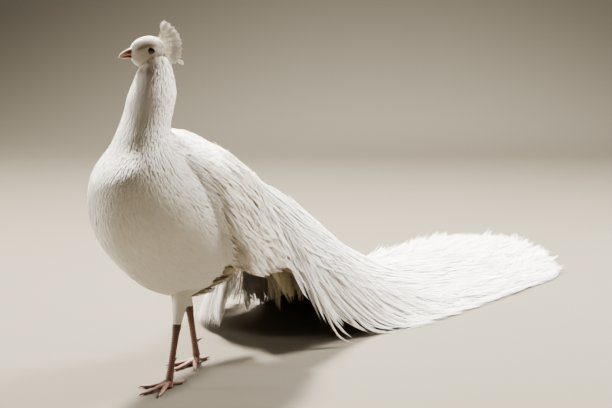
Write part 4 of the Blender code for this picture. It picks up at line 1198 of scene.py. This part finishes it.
# %% The finish of horn, skin and eyes
def marked_finish(name, plain, tip, marked, roughness, scale, stretch=(1, 1, 1), bump=0.0002, coat=0.0):
    """A material whose colour goes from plain to tip along a piece and to marked where it is marked,
    with clouds and pores of a scale, stretched along an axis."""
    material, shader = shader_of(name, plain, roughness)
    tree = material.node_tree
    kept = add(tree, "ShaderNodeAttribute", attribute_name="tone")
    shares = add(tree, "ShaderNodeSeparateColor")
    tree.links.new(kept.outputs["Color"], shares.inputs[0])
    place, mapping = add(tree, "ShaderNodeTexCoord"), add(tree, "ShaderNodeMapping")
    mapping.inputs["Scale"].default_value = stretch
    tree.links.new(place.outputs["Object"], mapping.inputs["Vector"])
    cloud, pores = add(tree, "ShaderNodeTexNoise"), add(tree, "ShaderNodeTexVoronoi")
    for texture, size in ((cloud, scale * 0.25), (pores, scale)):
        texture.inputs["Scale"].default_value = size
        tree.links.new(mapping.outputs[0], texture.inputs["Vector"])
    cloud.inputs["Detail"].default_value = 4.0
    graded = blend_of(tree, shares.outputs[1], plain, tip)
    spotted = blend_of(tree, kept.outputs["Alpha"], graded, marked)
    dull = maths(tree, "MULTIPLY", cloud.outputs["Fac"], 0.7)
    dulled = blend_of(tree, dull, spotted, (0.62, 0.50, 0.42), "MULTIPLY")
    tree.links.new(dulled, shader.inputs["Base Color"])
    rough = maths(tree, "MULTIPLY_ADD", cloud.outputs["Fac"], 0.25)
    rough.node.inputs[2].default_value = roughness - 0.12
    tree.links.new(rough, shader.inputs["Roughness"])
    raised = add(tree, "ShaderNodeBump")
    raised.inputs["Distance"].default_value = bump
    tree.links.new(pores.outputs["Distance"], raised.inputs["Height"])
    tree.links.new(raised.outputs["Normal"], shader.inputs["Normal"])
    shader.inputs["Coat Weight"].default_value = coat
    shader.inputs["Coat Roughness"].default_value = 0.08
    return material


EYE_COLOURS = (0.004, 0.003, 0.003), (0.050, 0.024, 0.013), (0.003, 0.002, 0.002)  # plain, tip and marked
LID_COLOURS = (0.42, 0.36, 0.31), (0.60, 0.54, 0.47), (0.10, 0.06, 0.05)
BILL_COLOURS = (0.50, 0.31, 0.24), (0.82, 0.74, 0.60), (0.13, 0.045, 0.035)
eye_finish = marked_finish("eye", *EYE_COLOURS, 0.16, 900, bump=0.00002, coat=1.0)
lid_finish = marked_finish("lid_skin", *LID_COLOURS, 0.6, 2200)
bill_finish = marked_finish("bill_horn", *BILL_COLOURS, 0.38, 700, (1, 1, 3), 0.00006, 0.15)
print("finishes:", eye_finish.name, lid_finish.name, bill_finish.name)

# %% Set the eyes and their lids
BALL_ROWS, BALL_AROUND, LID_ROWS, LID_AROUND = 34, 40, 48, 12


def facing(side):
    """The way that an eye looks, and the two ways square to it."""
    out = unit((1.0 if side == "left" else -1.0) * HEAD_LEFT + 0.35 * HEAD_AHEAD + 0.05 * UP)
    over = unit(UP - dot(UP, out) * out)
    return out, over, np.cross(out, over)


for side, middle in EYES.items():
    out, over, beside = facing(side)
    polar, turn = np.linspace(0, np.pi, BALL_ROWS)[:, None], full_circle(BALL_AROUND)[None, :]
    reach = EYE_RADIUS * (1 + 0.05 * np.exp(-((polar / 0.6) ** 2)))[..., None]
    rim = np.cos(turn)[..., None] * over + np.sin(turn)[..., None] * beside
    ball = middle + reach * (np.cos(polar)[..., None] * out + np.sin(polar)[..., None] * rim)
    iris = np.clip((polar - 0.42) / 0.10, 0, 1) * (1 - np.clip((polar - 0.80) / 0.12, 0, 1)) + 0 * turn
    points, faces = ball.reshape(-1, 3), tube_faces(BALL_ROWS, BALL_AROUND)[:, ::-1]
    tones = tones_of(iris, 0.0, len(points))
    eye = piece_of("eyeball_" + side, points, faces, eye_finish, None, tones)
    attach(eye, "root")
    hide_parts("eye_" + side)
    ring, tube = full_circle(LID_ROWS)[:, None], full_circle(LID_AROUND)[None, :]
    wide = EYE_RADIUS * 0.93 + 0.0011 * np.cos(tube)
    high = EYE_RADIUS * 0.42 + 0.0016 * np.sin(tube)
    up, sideways = np.cos(ring)[..., None] * over * 0.90, np.sin(ring)[..., None] * beside
    around_eye = up + sideways * (1 + 0.18 * np.abs(np.sin(ring))[..., None])
    points = (middle + wide[..., None] * around_eye + high[..., None] * out).reshape(-1, 3)
    faces = tube_faces(LID_ROWS + 1, LID_AROUND) % (LID_ROWS * LID_AROUND)
    front = np.clip(np.sin(ring) * (1 if side == "left" else -1) * 1.4, 0, 1)
    dark = np.maximum(np.cos(tube) < -0.35, front * (np.cos(tube) < 0.6))
    tones = tones_of(0.6, dark * 0.9 + 0 * ring, len(points))
    lid = piece_of("eyelid_" + side, points, faces, lid_finish, None, tones)
    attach(lid, "root")
print("eyes at", {side: place.round(3).tolist() for side, place in EYES.items()})

# %% [markdown]
# ## Bill
# The bill is two smooth horn shapes that meet along the mouth's line. The upper one curves down over
# the lower one and is cream at its tip. A dusky soft patch at its base holds the nostril.

# %% Make the bill: distance forward, height of the middle, half height, half width
UPPER_BILL = [
    (0.0400, 0.0210, 0.0098, 0.0094),
    (0.0540, 0.0197, 0.0086, 0.0084),
    (0.0630, 0.0173, 0.0072, 0.0069),
    (0.0720, 0.0138, 0.0054, 0.0048),
    (0.0790, 0.0099, 0.0036, 0.0028),
    (0.0825, 0.0061, 0.0014, 0.0012),
]
LOWER_BILL = [
    (0.0400, 0.0085, 0.0052, 0.0082),
    (0.0530, 0.0077, 0.0044, 0.0072),
    (0.0630, 0.0071, 0.0036, 0.0054),
    (0.0720, 0.0059, 0.0026, 0.0034),
    (0.0770, 0.0051, 0.0012, 0.0016),
]
MOUTH_BACK, MOUTH_FRONT = (0.040, 0.0123), (0.081, 0.0063)
NOSTRIL, SOFT_PATCH = (0.0600, 0.0180), (0.0555, 0.0185)  # forward and up
BILL_ROWS, BILL_AROUND, MOUTH_GAP = 56, 48, 0.0001

for name, table, way in (("bill_upper", UPPER_BILL, 1.0), ("bill_lower", LOWER_BILL, -1.0)):
    turn = full_circle(BILL_AROUND)[None, :]
    sizes = table_at(table, np.linspace(0, len(table) - 1, BILL_ROWS))[:, None, :]
    ahead, middle, tall, wide = np.moveaxis(sizes, -1, 0)
    mouth = np.interp(ahead, *np.transpose([MOUTH_BACK, MOUTH_FRONT])) + way * MOUTH_GAP
    inward = 1.3 * np.abs(middle - mouth)
    left, up = wide * np.sin(turn), middle + np.where(way * np.cos(turn) > 0, tall, inward) * np.cos(turn)
    up = way * np.maximum(way * up, way * mouth)
    hole = patch(ahead, up, NOSTRIL, (0.0030, 0.0014)) * (way > 0)
    left = left * (1 - 0.16 * hole)
    soft = patch(ahead, up, SOFT_PATCH, (0.0070, 0.0040)) * (way > 0)
    lip = np.exp(-(((up - mouth) / 0.0011) ** 2)) * np.clip((0.079 - ahead) / 0.01, 0, 1)
    under = (way < 0) * 0.45 * np.clip((0.068 - ahead) / 0.01, 0, 1)
    marked = np.clip(0.75 * soft + hole + 0.85 * lip + under, 0, 1)
    tip = np.clip((ahead - 0.066) / 0.014, 0, 1) + 0 * turn
    points, faces = joined([head_space(ahead + 0 * turn, left, up)])
    tip, marked = (np.concatenate([part[:1], part, part[-1:]]) for part in (tip, marked + 0 * turn))
    tones = tones_of(tip, marked, len(points))
    horn = piece_of(name + "_horn", points, faces[:, ::-1], bill_finish, None, tones)
    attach(horn, "root")
    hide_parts(name)
print("bill rows:", BILL_ROWS)

# %% [markdown]
# ## Crest
# The crest is a fan of plumes. Each has a thin shaft, almost bare, that ends in a small round vane of
# barbs, and the vanes overlap in a white band. One of the lower plumes is longer than the rest.

# %% Grow the crest's shafts
PLUMES = 32
PLUME_ANGLES = np.append(np.linspace(-46, 67, PLUMES - 1), -33.0)
CREST_FROM, CREST_TO = (-0.0165, 0.0240), (-0.0060, 0.0430)  # ahead and up, lowest and highest plume
VANE_RADIUS, VANE_BARBS, SHAFT_BARBS = 0.0072, 66, 22


def plume_lines():
    """Each plume's shaft: it stands on the line between CREST_FROM and CREST_TO, leans out of the
    head's middle plane and runs straight back and up by its angle, with a slight sag. Returns its
    points, ways across and ways out, and its direction."""
    degrees = PLUME_ANGLES
    angle, lean = np.radians(degrees), np.radians(10) * ((np.arange(PLUMES) * 0.618) % 1 * 2 - 1)
    length = np.interp(degrees, (-46, -20, 20, 67), (0.0375, 0.0440, 0.0465, 0.0445))
    length = length * (1 + 0.055 * np.sin(np.arange(PLUMES) * 2.4))
    length[-1] = 0.0640
    share = np.linspace(0.02, 1, 7)[None, :]
    back = length[:, None] * share
    place = (degrees - degrees[0]) / (degrees[-2] - degrees[0])
    root_ahead, root_up = (CREST_FROM[i] + (CREST_TO[i] - CREST_FROM[i]) * place[:, None] for i in (0, 1))
    ahead = root_ahead - back * (np.cos(angle) * np.cos(lean))[:, None]
    left = back * np.sin(lean)[:, None]
    up = root_up + back * (np.sin(angle) * np.cos(lean))[:, None] - 0.002 * share**2
    points = head_space(ahead, left, up)
    way = unit(points[:, -1] - points[:, 0])
    out = unit(HEAD_LEFT - dot(way, np.broadcast_to(HEAD_LEFT, way.shape)) * way)
    side = np.cross(out, way)
    spread = [np.broadcast_to(part[:, None], points.shape) for part in (side, out)]
    return points, spread[0], spread[1], way


points, sides, outs, ways = plume_lines()
roots = (np.linspace(0.05, 0.95, PLUMES), np.full(PLUMES, 0.2))
shafts = (points, sides, outs)
vanes("crest_shafts", shafts, 0.00040, 0.00040, (1.0, 1.0, 0.9, 0.8, 0.7, 0.6), roots, cream_coat)


# %% Open a round vane on each plume
def barbs_of(plume, start, tips):
    """Barbs from starts to tips, bowed a little towards the plume's end."""
    along = np.linspace(0, 1, 5)[None, :, None]
    bow = ways[plume][:, None] * 0.0011 * np.sin(np.pi * along)
    barb = start[:, None] + (tips - start)[:, None] * along + bow
    side = unit(np.cross(outs[plume, 0], tips - start))[:, None]
    return barb, np.broadcast_to(side, barb.shape), outs[plume][:, :5]


def shaft_at(plume, share):
    """The point on each plume's shaft at a share of its length."""
    where = share * 6
    low = np.minimum(where.astype(int), 5)
    return points[plume, low] + (points[plume, low + 1] - points[plume, low]) * (where - low)[:, None]


plume = np.repeat(np.arange(PLUMES), VANE_BARBS)
open_by = np.tile(np.linspace(-2.7, 2.7, VANE_BARBS), PLUMES) + chance.normal(0, 0.05, len(plume))
wide = VANE_RADIUS * chance.uniform(0.88, 1.06, len(plume)) * np.where(plume == PLUMES - 1, 0.72, 1.0)
middle = shaft_at(plume, np.full(len(plume), 0.97))
turned = ways[plume] * np.cos(open_by)[:, None] * 1.15 + sides[plume, 0] * np.sin(open_by)[:, None]
tips = middle + wide[:, None] * turned + outs[plume, 0] * chance.normal(0, 0.0012, (len(plume), 1))
tips -= ways[plume] * (wide * 0.35 * (1 - np.cos(open_by)))[:, None]
start = shaft_at(plume, np.clip(1.0 - 0.15 * np.abs(open_by), 0, 1))
spots = (roots[0][plume], 0.5 + 0.16 * open_by)
barbs_out = barbs_of(plume, start, tips)
fans = vanes("crest_fans", barbs_out, 0.00052, 0.00020, (0.6, 1.0, 1.0, 0.8), spots, white_coat)
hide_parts("crest")

# %% Add the short barbs along the shafts
plume = np.repeat(np.arange(PLUMES), SHAFT_BARBS)
share = chance.uniform(0.10, 0.66, len(plume))
hand = np.where(np.arange(len(plume)) % 2, 1.0, -1.0)[:, None]
start = shaft_at(plume, share)
tips = start + (ways[plume] * 0.8 + sides[plume, 0] * hand * 0.6) * (0.0018 + 0.0016 * share)[:, None]
spots = (roots[0][plume], 0.02 + 0.2 * share)
barbs_out = barbs_of(plume, start, tips)
vanes("crest_barbs", barbs_out, 0.00030, 0.00015, (0.6, 1.0, 1.0, 0.7), spots, white_coat)

# %% Fluff the crest's root
rows, angles = scatter(head, (0.6, -0.75), (3.0, 0.75), 0.0026)
length = 0.0110 * chance.uniform(0.7, 1.2, len(rows))
turn = np.pi + chance.normal(0, 0.35, len(rows))
rise = 0.0065 * chance.random(len(rows))
centre = grow(head, rows, angles, length, turn, 0.0, -0.0005, rise)
lines, spots = tufted(centre, 3, 0.0008, 1.4), ring_spots(rows, angles, HEAD_END)
vanes("crest_fluff", lines, 0.00060, 0.00015, (0.7, 1.0, 0.7), spots, white_coat)

# %% [markdown]
# ## Legs
# A peafowl's shanks and toes have horny skin: broad plates down the front and over the toes, and a net
# of small scales elsewhere. Shank, sole and toes are melted into one skin, and then the plates are
# pressed into it.

# %% The legs' sizes
SOLES = {"left": (0.000, 0.000), "right": (-0.085, 0.175)}
HOCKS = {"left": (0.000, 0.035, 0.1535), "right": (-0.080, 0.152, 0.1610)}
ANKLE_HEIGHT = 0.0215
SHANK_STEPS = (0.00, 0.07, 0.20, 0.45, 0.70, 0.88, 1.00)  # from the hock down to the ankle
SHANK_RADII = (0.0104, 0.0108, 0.0088, 0.0078, 0.0078, 0.0088, 0.0102)
PAD_STEPS, PAD_RADII = (0.00, 0.25, 0.50, 0.75, 1.00), (0.0105, 0.0120, 0.0105, 0.0090, 0.0086)
TOES = {"inner": (-46, 0.056), "middle": (-4, 0.072), "outer": (30, 0.062), "hind": (176, 0.044)}
TOE_RADIUS, CLAW_LENGTH = 0.0064, 0.0150
TOE_JOINTS = {"inner": 2, "middle": 3, "outer": 4, "hind": 1}
SPUR_HEIGHT, SPUR_LENGTH, SPUR_RADIUS = 0.062, 0.020, 0.0064
LEG_VOXEL, PLATE_LONG, PLATE_DEEP = 0.0011, 0.0052, 0.00042


def pipe(middles, radii, around, flat=None):
    """Rings square to a path, as wide as the radii. With flat set, no point lies below that height."""
    ways = unit(np.gradient(middles, axis=0))
    start = np.array((0.0, 0.0, 1.0)) if abs(ways[0, 2]) < 0.7 else np.array((0.0, 1.0, 0.0))
    over = unit(start - dot(ways, np.broadcast_to(start, ways.shape)) * ways)
    side = np.cross(ways, over)
    turn = full_circle(around)[None, :, None]
    rings = np.cos(turn) * over[:, None] + np.sin(turn) * side[:, None]
    rings = middles[:, None] + np.asarray(radii)[:, None, None] * rings
    if flat is not None:
        rings[..., 2] = np.maximum(rings[..., 2], flat)
    return rings


def toe_path(sole, side, toe):
    """The middles and radii of one toe: it sinks from the sole to the floor and swells at its joints."""
    degrees, length = TOES[toe]
    heading = np.radians(degrees) * (1 if side == "left" else -1)
    way = np.array((np.sin(heading), -np.cos(heading), 0))
    share = np.linspace(0, 1, 40)
    reach = 0.004 + (length - 0.004) * share
    lift = TOE_RADIUS * 0.80 + 0.008 * (1 - share) ** 2
    middles = sole + way * reach[:, None] + lift[:, None] * UP
    swell = 1 + 0.10 * np.cos(2 * np.pi * share * TOE_JOINTS[toe])
    return middles, TOE_RADIUS * np.interp(share, (0, 0.3, 1), (1.10, 0.92, 0.66)) * swell, way


def tip_tones(share, around):
    """How far each point of a closed horn lies towards its tip, its two drawn-in ends with it."""
    return np.append(np.repeat(np.append(share[:1], share), around), np.ones(around))


# %% Melt each leg and press its plates in
CLAW_AROUND, SPUR_AROUND = 18, 20
SCALE_COLOURS = (0.25, 0.135, 0.105), (0.36, 0.225, 0.180), (0.085, 0.035, 0.028)
CLAW_COLOURS = (0.34, 0.23, 0.18), (0.16, 0.10, 0.08), (0.10, 0.04, 0.03)
scale_finish = marked_finish("scaled_skin", *SCALE_COLOURS, 0.5, 900, (1, 1, 0.8), 0.00025)
claw_finish = marked_finish("horn", *CLAW_COLOURS, 0.35, 500, (1, 1, 1), 0.00005, 0.2)

for side, sole_at in SOLES.items():
    sole, hock = np.array((*sole_at, 0.0)), np.array(HOCKS[side])
    ankle = sole + (0, 0.006, ANKLE_HEIGHT)
    share, drop = np.linspace(0, 1, 60), np.linspace(1, 0, 14)
    shank = pipe(hock + (ankle - hock) * share[:, None], np.interp(share, SHANK_STEPS, SHANK_RADII), 36)
    pad = pipe(sole + (ankle - sole) * drop[:, None], np.interp(drop, PAD_STEPS, PAD_RADII), 30)
    tubes = [shank, pad] + [pipe(*toe_path(sole, side, toe)[:2], 24, 0.0) for toe in TOES]
    leg = melted("leg_" + side, tubes, scale_finish, LEG_VOXEL, 5)
    places, normals = read(leg.data, "co"), read(leg.data, "normal")
    flat = np.linalg.norm(places[:, :2] - sole[:2], axis=1)
    on_toe = places[:, 2] < ANKLE_HEIGHT * 0.8
    run = np.where(on_toe, flat, places[:, 2])
    front = np.clip(np.where(on_toe, normals[:, 2], -normals[:, 1]) * 1.6, 0, 1)
    groove = np.abs(np.sin(np.pi * run / PLATE_LONG)) ** 0.35
    places += normals * (PLATE_DEEP * (groove - 1) * front)[:, None]
    places[:, 2] = np.maximum(places[:, 2], 0.0)
    leg.data.vertices.foreach_set("co", places.astype(np.float32).ravel())
    high = np.clip((places[:, 2] - 0.10) / 0.05, 0, 1)
    marked = np.clip((1 - groove) * front + 0.55 * high, 0, 1)
    keep_tones(leg.data, tones_of(groove * front, marked, len(places)))
    leg.data.shade_smooth()
    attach(leg, "root")
    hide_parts("shank_" + side, "foot_" + side)
    print("leg faces:", len(leg.data.polygons))

    # Claws curve down to the floor, and the spur points back from the shank.
    for toe in TOES:
        middles, _, way = toe_path(sole, side, toe)
        bend = np.linspace(0, 1, 22)
        reach = -0.0015 + (CLAW_LENGTH + 0.0020) * bend
        arch = 0.0012 * np.sin(np.pi * bend) - 0.0030 * bend**2
        path = middles[-1] + way * reach[:, None] + UP * arch[:, None]
        radii = TOE_RADIUS * np.interp(bend, (0, 0.15, 0.6, 1), (0.50, 0.58, 0.34, 0.06))
        claw, faces = joined([pipe(path, radii, CLAW_AROUND, 0.0005)])
        tones = tones_of(tip_tones(bend, CLAW_AROUND), 0.0, len(claw))
        made = piece_of(f"nail_{side}_{toe}", claw, faces, claw_finish, None, tones)
        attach(made, "root")
        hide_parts(f"claw_{side}_{toe}")
    start = ankle + (hock - ankle) * (SPUR_HEIGHT - ankle[2]) / (hock[2] - ankle[2])
    bend = np.linspace(0, 1, 24)
    way = np.array((-0.25 if side == "left" else 0.25, 1.0, 0.0))
    path = start + way * (0.003 + SPUR_LENGTH * bend)[:, None] + UP * (0.004 * bend**2)[:, None]
    radii = SPUR_RADIUS * np.interp(bend, (0, 0.3, 1), (1.0, 0.72, 0.10))
    spur, faces = joined([pipe(path, radii, SPUR_AROUND)])
    tones = tones_of(tip_tones(bend, SPUR_AROUND) * 0.5, 0.3, len(spur))
    made = piece_of("spur_horn_" + side, spur, faces, claw_finish, None, tones)
    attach(made, "root")
    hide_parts("spur_" + side)


# %% [markdown]
# ## Close the lesson


print("lesson done")
